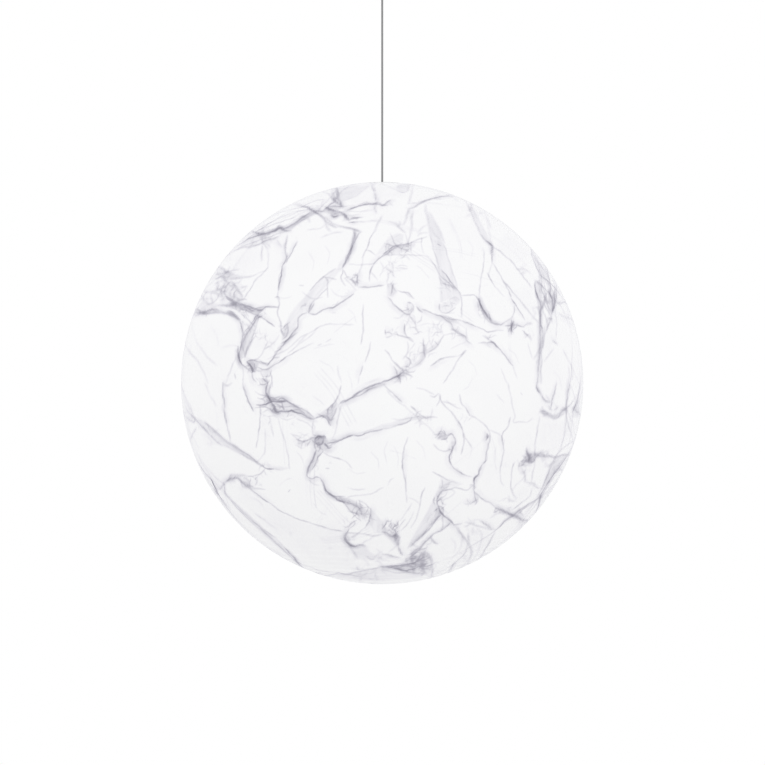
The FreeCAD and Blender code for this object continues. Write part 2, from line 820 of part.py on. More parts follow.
def make_bulb_diffuser():
    """The frosted dome. Its widest part is the bulb's diameter."""
    edge = rim_radius
    low = bulb_low
    widest = housing_low - 0.28 * (housing_low - low)
    belly = (bulb_radius, widest)
    side = (bulb_radius * math.cos(math.radians(45)), low + (widest - low) * (1 - math.sin(math.radians(45))))
    wall = diffuser_wall
    belly_in = (bulb_radius - wall, widest)
    side_in = (side[0] - wall * 0.7, side[1] + wall * 0.7)
    upper = ((edge + bulb_radius) / 2 + dome_lead, (housing_low + widest) / 2)
    upper_in = (upper[0] - wall, upper[1])
    return turned((edge - wall, housing_low), (edge, housing_low), (upper, belly), (side, (pole_flat, low)),
                  (0, low), (0, low + wall), (pole_flat, low + wall), (side_in, belly_in),
                  (upper_in, (edge - wall, housing_low)))


# ---------------------------------------------------------------- the whole lamp

pieces = {
    "ceiling_plate": make_ceiling_plate(),
    "canopy_cup": make_canopy_cup(),
    "thumb_screws": make_thumb_screws(),
    "cord_gland": make_cord_gland(),
    "gland_washer": make_gland_washer(),
    "gland_nut": make_gland_nut(),
    "terminal_block": make_terminal_block(),
    "terminal_inserts": make_terminal_inserts(),
    "terminal_screws": make_terminal_screws(),
    "live_lead": make_canopy_lead(-1),
    "neutral_lead": make_canopy_lead(1),
    "cord_ball": make_cord_ball(),
    "suspension_cord": make_suspension_cord(),
    "top_cap": make_top_cap(),
    "cap_grommet": make_cap_grommet(),
    "globe_shell": make_globe_shell(),
    "rim_ring": make_rim_ring(),
    "bridge_bar": make_bridge_bar(),
    "bar_pads": make_bar_pads(),
    "hub_nipple": make_hub_nipple(),
    "hub_washer": make_hub_washer(),
    "hub_nut": make_hub_nut(),
    "cord_grip": make_cord_grip(),
    "grip_screw": make_grip_screw(),
    "holder_cap": make_holder_cap(),
    "cord_clamp": make_cord_clamp(),
    "clamp_screw": make_clamp_screw(),
    "holder_body": make_holder_body(),
    "ceramic_insert": make_ceramic_insert(),
    "threaded_shell": make_threaded_shell(),
    "centre_contact": make_centre_contact(),
    "side_contact": make_side_contact(),
    "holder_live_lead": make_holder_lead(-1),
    "holder_neutral_lead": make_holder_lead(1),
    "bulb_base": make_bulb_base(),
    "bulb_insulator": make_bulb_insulator(),
    "bulb_tip_contact": make_bulb_tip(),
    "bulb_housing": make_bulb_housing(),
    "light_board": make_light_board(),
    "bulb_diffuser": make_bulb_diffuser(),
}

os.makedirs("parts", exist_ok=True)
for name, shape in pieces.items():
    shape.exportStep(f"parts/{name}.step")
    volume = shape.Volume / 1000
    print(f"{name:22s} solids {len(shape.Solids)}  valid {shape.isValid()}  volume {volume:.3f} cm3")
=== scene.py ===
"""Looks of the globe pendant: a lit sphere of crumpled fibre veil set in clear resin, on one thin cord.

Everything is in metres, in the CAD model's frame. The veil is a skin of six panels laid on the globe.
Its folds are drawn below, in millimetres from the globe's centre as seen from the front.
"""
import bpy
import json
import math
import numpy as np
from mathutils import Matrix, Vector


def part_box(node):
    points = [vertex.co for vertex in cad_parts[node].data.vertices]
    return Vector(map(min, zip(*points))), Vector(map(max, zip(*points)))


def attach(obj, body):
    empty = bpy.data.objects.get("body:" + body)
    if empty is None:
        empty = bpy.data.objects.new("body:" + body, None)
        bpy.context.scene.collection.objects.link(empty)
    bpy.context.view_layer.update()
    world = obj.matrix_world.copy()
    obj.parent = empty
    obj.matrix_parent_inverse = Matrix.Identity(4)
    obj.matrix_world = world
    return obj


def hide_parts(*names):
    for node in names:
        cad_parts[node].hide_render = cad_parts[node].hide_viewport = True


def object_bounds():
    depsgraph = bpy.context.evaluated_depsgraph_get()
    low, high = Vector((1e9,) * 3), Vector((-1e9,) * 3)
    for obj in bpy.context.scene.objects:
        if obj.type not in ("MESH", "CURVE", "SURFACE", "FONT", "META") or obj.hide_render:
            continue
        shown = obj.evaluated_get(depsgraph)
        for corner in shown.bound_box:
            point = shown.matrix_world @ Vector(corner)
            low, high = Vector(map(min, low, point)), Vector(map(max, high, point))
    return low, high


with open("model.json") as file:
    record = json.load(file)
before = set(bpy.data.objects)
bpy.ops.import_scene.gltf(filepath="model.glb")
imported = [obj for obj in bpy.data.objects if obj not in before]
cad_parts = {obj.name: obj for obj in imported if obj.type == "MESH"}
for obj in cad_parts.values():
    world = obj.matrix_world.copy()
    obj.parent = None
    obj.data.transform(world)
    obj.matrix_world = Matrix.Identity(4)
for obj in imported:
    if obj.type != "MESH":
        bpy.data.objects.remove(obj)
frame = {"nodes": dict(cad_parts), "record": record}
cad_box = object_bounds()
nodes = frame["nodes"]

# ---------------------------------------------------------------- sizes

MM = 0.001                          # a name that ends in _MM holds millimetres
SEAT_DROP = 2.6 * MM                # the flat round the globe's opening, below the sphere's pole
VEIL_LIFT = 0.12 * MM               # the veil's skin over the CAD globe
FOLD_HEIGHT = 0.45 * MM             # how far a fold of darkness 1 would stand out
FOLD_DARKEST = 0.8                  # a darker fold stands out no further
FLAT_FOLD_SHARE = 0.2               # of the fold's height on the globe's two flats
VEIL_EDGE = 1.0 * MM                # between the cap's rim and the veil
FRONT_STEP = 1.22 * MM              # mesh spacing of the front panel
OTHER_STEP = 2.8 * MM
CORD_DIAMETER = 3.5 * MM
CORD_CLEARANCE = 0.2 * MM           # between the load ball and the cord's end
CORD_POINTS = 6

globe_low, globe_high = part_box("globe_shell")
RADIUS = (globe_high.x - globe_low.x) / 2
CENTRE = Vector((0, 0, globe_high.z + SEAT_DROP - RADIUS))
SEAT_LEVEL = globe_high.z
FOOT_LEVEL = globe_low.z
CAP_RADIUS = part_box("top_cap")[1].x

# ---------------------------------------------------------------- the folds, drawn one by one

# Each line is one fold: "x z, x z, ..." in millimetres from the globe's centre, seen from the front.
# A line that ends with a comma goes on below. A class of folds shares its darkness (0 to 1) and its
# half-width in millimetres.
FOLD_CLASSES = {
    "deep": (0.78, 1.35),
    "strong": (0.54, 1.25),
    "clear": (0.36, 1.2),
    "soft": (0.23, 1.2),
    "faint": (0.14, 1.25),
    "hair": (0.08, 1.0),
    "wide": (0.12, 3.2),
}

FOLDS = {
    "deep": """
# upper left
-196 264, -187 266, -178 270, -172 268
-123 302, -118 299, -112 296
-97 307, -92 303, -86 302
-90 293, -84 290, -78 292
-72 297, -66 294, -60 286
-316 124, -312 122, -307 122
-250 54, -250 44, -246 34
-69 203, -67 209
-219 118, -216 119
-236 37, -231 32, -226 24, -227 19
# upper right
184 247, 189 243, 192 239
275 189, 279 186, 284 182
301 140, 299 131, 297 125
169 147, 171 139, 175 131
276 101, 280 96
22 10, 27 12, 32 15
225 104, 226 97, 225 91
# lower left
-201 -18, -198 -26, -192 -33
-189 -44, -186 -50, -181 -51
-184 -33, -177 -32, -170 -32
-117 -97, -112 -93, -107 -94
-101 -107, -97 -110
-94 -191, -88 -196, -84 -199
-74 -205, -68 -207
-64 -272, -61 -278, -55 -283, -48 -285
-157 -302, -153 -306, -150 -311
-299 -168, -294 -178, -289 -188
# lower right
100 -222, 103 -227, 108 -231
183 -90, 183 -96
160 -165, 161 -169
258 -125, 259 -127
22 -323, 30 -325, 40 -328
51 -298, 51 -303
276 -197, 275 -205
256 -137, 260 -138
122 -110, 124 -114
""",
    "strong": """
# upper left
-224 264, -219 263, -212 260, -202 261, -192 265, -178 271, -172 267, -160 266
-104 300, -97 306, -88 303, -80 300, -70 297, -62 290, -58 284
-58 285, -52 288, -44 288
-57 281, -50 281, -44 281
-60 303, -50 306, -40 310, -28 312, -12 313, 0 311, 8 311
-78 338, -78 330, -80 322
-66 208, -62 218, -57 228, -52 240
-175 204, -176 190, -179 178, -181 163
-285 128, -296 129, -308 125, -318 123
-270 126, -262 123, -256 117, -248 111
-262 142, -250 139, -238 135, -226 131, -214 128, -208 128
-272 150, -266 146, -260 143, -256 140
-240 134, -230 128, -224 125
-252 64, -252 54, -250 42, -246 34, -243 31
-236 36, -230 30, -227 22, -222 20
-210 8, -205 5, -200 0
-64 146, -54 153, -50 156
-96 131, -84 133, -74 139, -64 146
-55 181, -50 177, -46 171
# upper right
0 310, 6 313, 10 317, 15 320
58 308, 62 312, 70 316, 80 320, 90 323
97 243, 102 240
184 247, 189 243, 192 238, 192 228
165 151, 168 145, 171 138, 175 131, 180 122, 185 115
226 147, 231 140, 234 136
268 178, 267 167, 270 155, 274 145, 277 134, 276 120, 276 105, 279 97
293 178, 294 168, 293 158, 296 148, 298 138, 297 128
304 150, 302 140, 299 130, 296 122
270 178, 273 174, 276 172
45 141, 50 140
60 134, 65 128, 70 124
0 2, 10 5, 18 8, 27 12, 33 17, 38 20
226 110, 227 102, 223 95, 221 90
230 108, 226 99, 226 86
122 95, 131 88, 138 84
185 71, 192 71, 200 65, 207 58
5 93, 6 85
# lower left
-200 0, -203 -10, -202 -20, -197 -28, -192 -35, -188 -42, -185 -50, -178 -53
-220 -38, -210 -38, -200 -36, -192 -32, -185 -32, -178 -31, -165 -32
-185 -50, -175 -49, -165 -50, -158 -48, -150 -51, -140 -54, -130 -60, -119 -63
-119 -62, -110 -59, -104 -58, -97 -62, -93 -70, -90 -74
-88 -43, -86 -38
-52 -25, -42 -17, -34 -12, -27 -9, -15 -3, 0 1
-116 -97, -112 -93, -106 -94, -100 -93, -99 -96
-116 -96, -116 -104, -112 -108, -105 -105, -102 -97
-102 -105, -97 -109, -94 -114, -88 -112
-95 -105, -85 -103, -76 -101, -66 -96, -52 -91
-116 -118, -120 -130, -126 -142, -131 -156, -131 -163, -127 -166
-108 -166, -104 -174, -98 -187, -90 -195, -84 -198, -78 -204, -70 -207, -66 -210
-58 -255, -62 -262, -65 -270, -62 -278, -55 -283, -48 -285, -38 -283, -30 -285
-276 -175, -270 -170, -264 -167, -256 -166, -250 -168, -243 -175, -236 -181, -229 -186
-304 -164, -298 -170, -293 -182, -288 -192, -284 -198
-170 -288, -160 -299, -154 -305, -150 -311
-205 -148, -200 -150, -190 -150
# lower right
124 -111, 121 -119, 118 -127, 118 -135, 121 -143
174 -144, 170 -151, 167 -160, 161 -167, 161 -176
98 -214, 100 -222, 105 -229, 113 -236, 121 -243, 126 -248
198 -218, 206 -221, 216 -225, 228 -231, 238 -235, 245 -239
252 -114, 253 -121, 256 -128, 256 -137, 262 -138, 266 -134
242 -137, 249 -135, 256 -137
0 -321, 12 -322, 25 -324, 38 -328, 50 -326, 62 -322
5 -320, 20 -320, 34 -318, 48 -316, 60 -312, 68 -307
72 -320, 82 -319, 87 -316
85 -268, 75 -278, 65 -290, 58 -297, 51 -303
88 -274, 92 -279, 97 -281
20 -266, 25 -266, 30 -270
29 -288, 32 -295, 36 -301
310 -147, 300 -160, 292 -170, 286 -180
281 -188, 276 -198, 275 -207
270 0, 271 -10, 277 -19
183 -88, 185 -93, 182 -99
335 -46, 337 -40
57 -291, 62 -290
""",
    "clear": """
-250 110, -246 100, -244 84, -246 68, -250 52
-119 140, -123 131, -128 124
-192 -28, -178 -34, -168 -30, -160 -36
-118 -92, -108 -92, -101 -91
-112 -104, -108 -112, -112 -120
254 -120, 256 -130, 262 -137
46 -300, 52 -298, 60 -290
# upper left
-172 270, -158 276, -145 285, -132 294, -122 301, -104 300
-123 302, -115 297, -105 290, -97 282, -88 275, -80 272
-243 246, -233 252, -224 256, -212 259
-78 330, -75 320, -71 311, -68 307
-80 322, -84 316, -90 312, -97 306
-92 328, -82 318, -74 312
-92 309, -80 309, -66 309
-35 290, -46 289, -54 290
-69 201, -65 209, -58 222, -53 236, -48 248, -43 258, -38 264
-50 268, -48 258, -52 243, -55 232
-43 192, -43 182, -43 170
-50 189, -45 188
-57 182, -52 180, -47 176
-128 122, -118 120, -105 127, -95 131
-123 140, -127 131, -128 124
-176 69, -166 76, -156 88, -148 98, -147 110, -141 119, -132 123
-166 258, -168 245, -170 232, -167 220, -171 211, -175 204
-149 247, -156 232, -163 220, -168 211
-184 250, -180 244, -176 238
-187 150, -182 151, -179 146
-272 193, -266 193, -260 190
-284 203, -276 198, -268 193
-258 146, -259 156, -255 162
-256 151, -250 145, -243 147, -237 146
-218 118, -214 124, -208 130, -203 133, -196 134
-262 140, -252 132, -238 127, -226 122, -218 118, -206 112, -196 105, -188 99
-280 137, -268 135, -256 137, -246 132
-318 121, -300 122, -285 123, -272 122, -262 118, -252 113, -247 109
-218 117, -221 110, -227 100, -234 90, -240 79, -243 68
-238 37, -228 40, -216 38, -206 35, -198 34
-218 28, -208 24, -198 26, -188 32, -175 40, -166 47
-201 30, -192 42, -182 56, -172 68, -162 80, -154 90
-246 33, -240 29, -233 23, -228 18
-34 30, -37 20, -39 14
-40 168, -25 168, -10 169, 2 171
-258 16, -256 8
-10 316, -13 306, -10 298
-14 335, -12 325, -9 314
0 222, -8 216, -15 208
-228 18, -226 8, -220 2
# upper right
47 305, 55 307, 62 312
90 323, 100 325, 112 327
47 305, 44 296, 42 288
0 222, 5 228, 12 233, 20 238, 27 241
30 283, 31 278, 28 274
18 171, 17 162, 15 153
10 150, 15 145, 23 135, 33 127, 42 121, 47 119
52 139, 55 133, 52 126, 48 120
70 129, 78 126, 90 121, 105 116, 118 112, 130 110
136 110, 150 105, 163 99
100 119, 112 110, 120 104, 124 96
138 86, 146 81, 148 74, 157 68
39 103, 39 92, 42 83
73 62, 73 54, 75 46
5 88, 12 89, 16 86
85 30, 92 35, 100 41, 108 44
42 46, 47 42, 49 36, 46 29
103 198, 112 188, 122 174, 132 162
100 138, 100 129, 103 125
156 310, 153 300
172 260, 177 253, 184 247
186 122, 190 108, 198 103, 208 102
166 142, 168 134, 169 127
177 128, 184 117, 191 108
215 100, 225 101, 235 101, 248 98
192 237, 191 225, 192 209
221 163, 225 151
234 135, 240 126, 245 119
206 59, 214 49, 222 38, 228 31
261 232, 262 222, 266 210, 272 198, 276 190
284 184, 290 178, 293 172
279 175, 279 162, 283 152, 285 141
287 152, 288 140, 292 130, 296 122
306 139, 312 140, 317 141
298 74, 302 71, 306 68
296 122, 294 110, 289 98, 285 88
275 100, 276 82, 276 62, 274 45, 273 30, 272 14, 271 0
262 104, 254 104, 247 99
92 73, 97 67
20 30, 25 20, 28 10
25 8, 31 14, 27 5
# lower left
-278 0, -279 -15, -276 -30, -276 -45, -274 -62, -271 -75
-244 0, -240 -15, -235 -28, -229 -40, -225 -49
-192 -28, -182 -29, -176 -26, -165 -32
-215 -41, -205 -42, -195 -46, -188 -52, -180 -55
-176 -32, -173 -42, -170 -50
-165 -32, -155 -38, -142 -44, -130 -51, -119 -60
-96 -60, -95 -48, -89 -40, -81 -30, -77 -22
-96 -58, -90 -65, -85 -58, -80 -44
-76 -38, -70 -32, -62 -30, -52 -25
-70 -35, -58 -28, -47 -24, -35 -19, -20 -10, -8 -6
-118 -100, -118 -110, -115 -118
-112 -108, -108 -114, -103 -118
-95 -112, -86 -106, -76 -102
-52 -91, -40 -92, -30 -88, -15 -84, 0 -81
-150 -98, -141 -102, -131 -100, -124 -96, -118 -95
-104 -120, -111 -128, -117 -141, -123 -152
-127 -166, -121 -167, -115 -164, -108 -166
-84 -198, -74 -198, -65 -198
-66 -208, -52 -212, -41 -217, -38 -225
-20 -218, -20 -230, -25 -245, -30 -253
-45 -240, -54 -245, -59 -252
-265 -200, -272 -197, -275 -189, -275 -177
-270 -172, -266 -164, -263 -160
-245 -172, -236 -178, -226 -180
-229 -186, -220 -193, -210 -201, -196 -210
-331 -88, -327 -82, -325 -79
-322 -68, -312 -79, -302 -90
-84 -334, -78 -332, -60 -334, -50 -331
-98 -149, -93 -149
-164 -190, -161 -186
-26 -303, -22 -307, -15 -308
-284 -198, -276 -208, -266 -220
# lower right
93 -95, 98 -90, 103 -84, 108 -88, 115 -91, 121 -88, 124 -91
103 -99, 112 -97, 115 -92
115 -89, 122 -90, 127 -96, 128 -104, 124 -111
121 -143, 127 -150, 137 -157, 148 -162
188 -88, 188 -100, 185 -110, 182 -120, 181 -134, 174 -143
161 -176, 160 -188, 162 -198, 165 -208, 163 -212
167 -203, 161 -206, 154 -211
146 -43, 150 -50, 153 -56
132 -65, 137 -74, 141 -84
209 -92, 210 -103, 213 -118
266 -121, 272 -123, 278 -122, 284 -129, 292 -127, 300 -129, 310 -128
277 -121, 272 -126, 268 -130, 267 -136
324 -126, 315 -139, 303 -154, 295 -168, 288 -180
275 -50, 281 -48, 288 -52, 292 -58
312 -47, 319 -46, 325 -41
305 0, 301 -15, 297 -30, 294 -45
328 0, 325 -15, 322 -35, 322 -52
277 -19, 282 -28, 288 -32, 294 -33
335 -45, 338 -38, 343 -22
335 -45, 340 -50, 345 -53
161 -190, 170 -198, 180 -206, 190 -210, 198 -218
198 -218, 197 -226, 202 -222
213 -242, 208 -249, 202 -254
104 -228, 95 -238, 85 -252, 72 -265, 58 -277, 50 -286
100 -215, 106 -218, 107 -228
104 -200, 98 -205, 96 -210, 99 -216
126 -247, 138 -246
126 -248, 133 -257, 141 -267, 148 -277
120 -243, 110 -252, 103 -258, 92 -262, 85 -268, 88 -275
51 -42, 58 -47
20 -21, 28 -27, 35 -34
28 -73, 40 -70, 48 -66, 52 -60
0 -255, 5 -248, 8 -241
0 -260, 9 -262, 15 -268, 24 -266
30 -270, 27 -279, 29 -290
0 -299, 14 -301, 24 -304, 32 -306
72 -310, 71 -321
87 -316, 86 -308, 82 -300, 75 -295
72 -294, 66 -302, 60 -311, 50 -318
30 -322, 45 -319, 56 -320, 64 -316
173 -241, 182 -248, 192 -255
37 -120, 35 -140, 37 -155
128 -312, 121 -321, 117 -330
105 -187, 112 -187, 117 -186
""",
    "soft": """
-112 296, -96 286, -80 276, -60 272, -42 266
-222 112, -232 100, -240 90
-76 274, -58 270, -42 266
-250 236, -226 246, -196 256, -168 266
-300 262, -268 254, -232 262
-240 256, -214 268, -182 280, -152 290
-215 258, -206 244, -200 232
-228 126, -214 132, -198 134, -182 132
-286 136, -262 132, -244 122
-262 176, -250 162, -244 150
-270 172, -276 158, -268 146
-258 152, -262 142, -252 138
14 262, 22 244, 32 236, 46 230
-8 216, 8 226, 22 236, 36 246
4 244, 20 240, 40 242, 60 250, 78 256
272 176, 282 166, 284 148, 278 130
288 176, 296 166, 300 150, 296 136
282 140, 288 128, 294 118
268 160, 272 140, 274 118
276 -46, 284 -56, 292 -52, 298 -58
300 -60, 310 -52, 320 -46, 326 -54
332 -52, 336 -42, 340 -36
244 -136, 256 -126, 268 -124, 282 -130
262 -120, 274 -128, 290 -124
-186 -36, -170 -42, -156 -40, -142 -46
-196 -44, -184 -50, -172 -46
-206 -20, -192 -26, -180 -24
-124 -98, -114 -106, -104 -102
-100 -104, -94 -112, -88 -110
40 -312, 56 -306, 70 -310, 84 -304
30 -322, 50 -316, 66 -320, 82 -314
52 -300, 66 -296, 78 -302, 86 -310
# upper left
-256 232, -244 237, -232 238, -215 243, -200 250, -182 256
-220 270, -205 276, -190 283, -165 295, -142 302, -123 303
-240 247, -228 258, -214 268, -196 280, -178 291
-165 302, -143 307, -130 313, -116 319, -100 321
-110 305, -103 311, -95 320, -86 330
-88 334, -84 325, -80 316, -72 309
-58 272, -50 270, -42 266, -37 264
-69 200, -69 192, -72 184, -69 176, -64 170
-67 197, -62 186, -57 181
-104 186, -94 184, -80 181
-100 185, -95 178, -96 165, -95 150
-96 166, -110 152, -120 143, -124 137
-82 200, -92 193, -104 185, -115 174, -126 162
-181 163, -183 150, -180 140, -181 133, -183 122, -180 112, -177 104, -176 92, -170 82
-145 171, -137 170
-87 123, -82 123
-210 258, -209 245, -211 228, -210 214
-206 258, -203 248, -196 237
-200 202, -208 192, -219 183, -226 172, -233 161, -240 150
-293 180, -283 186, -273 192, -262 197, -250 199
-284 184, -272 185, -262 189
-312 146, -309 157, -300 160, -288 161, -278 166, -270 173, -264 177, -257 171, -252 162, -244 153
-311 145, -304 139, -296 140, -290 145, -286 153, -283 159
-322 140, -316 146, -312 152
-276 158, -271 150, -264 145
-204 132, -196 133, -188 133, -180 133
-244 109, -243 96, -241 84, -244 72, -243 60, -240 46
-215 115, -220 101, -224 87, -229 75, -236 60, -239 46
-222 82, -230 70, -236 58, -240 48
-222 99, -232 108, -242 122
-216 36, -206 33, -200 32, -195 39, -188 44, -180 45
-182 60, -170 69, -160 80, -148 88
-175 76, -168 82, -164 92, -166 104
-172 82, -176 92, -170 100, -162 106
-166 47, -156 52, -146 58
-118 92, -112 97
-98 72, -90 77
-112 66, -107 68
-33 138, -34 115, -33 98, -35 80, -37 68
-20 72, -25 50, -30 37
-14 345, -13 335
0 293, -8 278, -12 268, -20 255, -25 240, -29 230
-28 233, -20 230, -12 224
-20 200, -22 190, -22 178
-15 208, -20 198, -22 190
-342 62, -335 52, -325 42, -318 30
-200 16, -203 8, -200 0
-196 20, -193 8, -192 -6
-212 18, -207 9, -204 2
-100 283, -96 272, -90 265
# upper right
13 315, 18 310
24 341, 31 346, 40 347
26 337, 36 333, 45 336, 47 345
53 340, 50 326, 46 313
42 288, 39 280, 36 277
55 302, 51 285, 52 272, 49 260, 46 248, 46 238
12 283, 22 278, 30 272, 40 263
22 282, 30 275
76 312, 76 301, 80 285, 83 265
108 240, 112 232, 113 224
84 217, 95 200, 103 186, 115 176, 130 165
100 186, 108 174, 117 168
132 162, 118 170, 103 175
103 124, 110 122, 118 125, 128 132
132 163, 138 152, 139 140, 139 125, 139 116
69 254, 69 246
20 175, 18 168, 16 158
14 177, 20 166, 25 160
27 162, 36 159, 46 157, 55 148
47 119, 52 112, 57 104
105 119, 120 114, 136 110
163 99, 175 95, 184 89, 193 91, 203 92, 212 92
124 96, 135 88, 146 79
42 83, 48 76, 54 72
16 86, 22 86, 30 83, 40 81, 50 78, 55 73
72 78, 72 68, 73 60
80 53, 88 58, 95 64, 102 74, 108 84
108 44, 118 46, 130 47
147 57, 138 48, 130 36, 122 22, 114 10, 107 0
5 58, 12 50, 18 40, 25 31, 36 23
23 36, 30 29, 39 20
35 18, 45 16, 54 10
194 238, 199 234
150 312, 153 302, 158 292, 165 276, 171 262
198 236, 206 230, 215 222, 223 216, 232 205, 240 195
178 213, 176 200, 173 185, 171 172, 170 155
184 192, 190 181, 197 168
195 208, 203 194, 212 178, 220 163
212 178, 222 167, 235 151, 248 136, 260 120, 275 104
140 153, 150 154, 160 154, 165 150
172 138, 171 130, 168 127
174 126, 182 112, 192 104
207 101, 218 109, 226 114, 230 122, 231 135
245 119, 249 111
168 70, 176 71, 185 71
176 83, 183 78, 190 74, 196 68
250 80, 256 85, 261 77
120 326, 127 322, 132 318
288 192, 291 184, 293 176
284 150, 284 140, 280 128, 286 116, 288 104
266 218, 276 206, 284 196, 290 186
279 98, 280 78, 278 56, 279 40, 277 20, 278 0
284 98, 281 78, 280 62, 283 78
285 88, 282 74, 281 60
276 62, 270 51, 265 42
310 121, 320 115, 330 112
317 56, 322 46, 329 34
245 92, 254 84, 260 75
290 163, 292 150, 290 138
240 195, 246 187, 253 178, 261 167
# lower left
-346 -20, -338 -40, -330 -55
-344 -58, -335 -66, -328 -68, -327 -60
-330 -60, -322 -68
-302 -90, -292 -100, -280 -110
-310 -68, -292 -84, -272 -102, -252 -114, -235 -125, -218 -138, -205 -148
-190 -150, -180 -151
-205 -150, -211 -157, -220 -161, -228 -163, -245 -161, -262 -160
-271 -75, -268 -88, -265 -103
-278 0, -272 -5, -262 0
-240 -18, -232 -35, -226 -48
-213 -40, -213 -55, -214 -72, -216 -88, -220 -112
-222 -15, -214 -20, -205 -22, -199 -26
-195 0, -197 -12, -198 -22
-218 -26, -210 -28, -202 -32
-222 -43, -212 -42, -204 -40
-175 -25, -160 -35, -142 -40
-160 -49, -146 -46, -136 -53
-72 -40, -76 -56, -80 -78
-60 -31, -48 -20, -38 -13
-77 -24, -74 -14, -72 -4
-160 -88, -151 -95, -143 -100
-125 -96, -128 -104, -131 -110
-104 -120, -95 -126, -82 -130, -70 -134
-60 -224, -42 -228, -24 -229
-66 -207, -62 -215, -57 -222, -52 -226, -46 -234, -38 -240
-40 -205, -38 -216, -36 -230
-42 -204, -30 -211, -20 -221
-30 -253, -42 -262, -52 -270
-50 -239, -48 -246, -57 -254
-62 -262, -45 -262, -30 -264, -12 -267, 0 -264
-58 -284, -52 -292, -46 -300, -43 -305
-196 -210, -180 -222, -160 -232, -140 -240, -120 -246, -95 -254, -70 -259
-296 -160, -288 -168, -280 -174, -275 -177
-294 -172, -288 -178
-230 -238, -212 -254, -196 -270, -180 -285, -164 -300
-266 -204, -250 -222, -232 -240
-205 -256, -195 -264, -183 -274, -172 -286
-320 -140, -311 -157, -300 -175, -282 -204, -262 -229
-150 -311, -138 -317, -125 -322, -110 -327, -95 -330, -84 -331
-50 -331, -35 -328, -15 -324, 0 -321
-60 -334, -48 -337, -36 -337
-12 -335, -12 -330
-160 -260, -160 -266
-93 -289, -90 -288
-92 -139, -89 -140
-78 -204, -72 -199
# lower right
3 -3, 14 -14, 26 -24
50 -40, 58 -47, 66 -55, 76 -61
0 -80, 15 -78, 28 -73
45 -95, 40 -108, 37 -122
37 -155, 40 -170, 42 -190
90 -107, 94 -112, 101 -117, 111 -119, 119 -116
104 -98, 111 -98, 114 -103
148 -162, 158 -164
135 -20, 138 -34, 146 -43
153 -56, 165 -62, 175 -69, 183 -78, 188 -86
102 -20, 102 -30, 112 -42, 122 -52, 132 -65
141 -84, 143 -98, 141 -113, 138 -124
95 -40, 101 -29, 99 -18
84 -22, 91 -24, 97 -19
224 -60, 220 -75, 212 -86, 209 -93
213 -118, 210 -132, 207 -145, 206 -158
292 -58, 300 -62, 308 -60, 312 -52
286 -22, 291 -28, 292 -33
322 -52, 322 -60, 326 -74, 330 -88
330 -52, 334 -42, 333 -55
275 -60, 272 -78, 269 -95, 267 -112, 266 -126, 266 -142, 263 -158, 261 -172
261 -185, 259 -196, 250 -204, 240 -212, 228 -221
249 -172, 256 -174, 264 -176, 270 -182, 278 -184
242 -147, 247 -155, 250 -163, 249 -172
300 -130, 308 -122, 318 -112, 331 -103
300 -132, 310 -127, 325 -125
302 -131, 294 -148, 286 -168, 279 -184
310 -152, 298 -168, 286 -186, 280 -196
161 -177, 154 -183, 148 -187, 139 -185, 128 -183, 118 -186
162 -190, 167 -200, 167 -208
146 -243, 160 -247, 172 -251, 186 -255, 198 -256
198 -256, 194 -267, 188 -278, 181 -289, 176 -299
205 -225, 212 -228, 217 -224
229 -232, 236 -237
245 -240, 243 -250, 239 -258
270 -203, 255 -212, 240 -222, 229 -231, 217 -239, 207 -249
88 -155, 98 -160, 108 -166, 118 -171
100 -230, 86 -247, 70 -265, 54 -280
148 -277, 154 -287, 157 -296, 153 -308
96 -212, 95 -203, 100 -194, 107 -188
105 -232, 106 -245, 104 -257
12 -255, 18 -262, 22 -255, 28 -250, 26 -243
22 -265, 22 -275, 27 -282
73 -322, 75 -330, 80 -337
194 -264, 186 -280, 176 -297
28 -255, 33 -247, 40 -238
75 -182, 70 -192, 67 -206, 64 -222
150 -265, 150 -280, 146 -294, 138 -305, 128 -313
242 -17, 245 -20
0 -326, 16 -330, 34 -332, 50 -329, 64 -324
229 -140, 226 -160, 225 -180, 228 -193, 235 -202
257 -214, 245 -222, 236 -230
""",
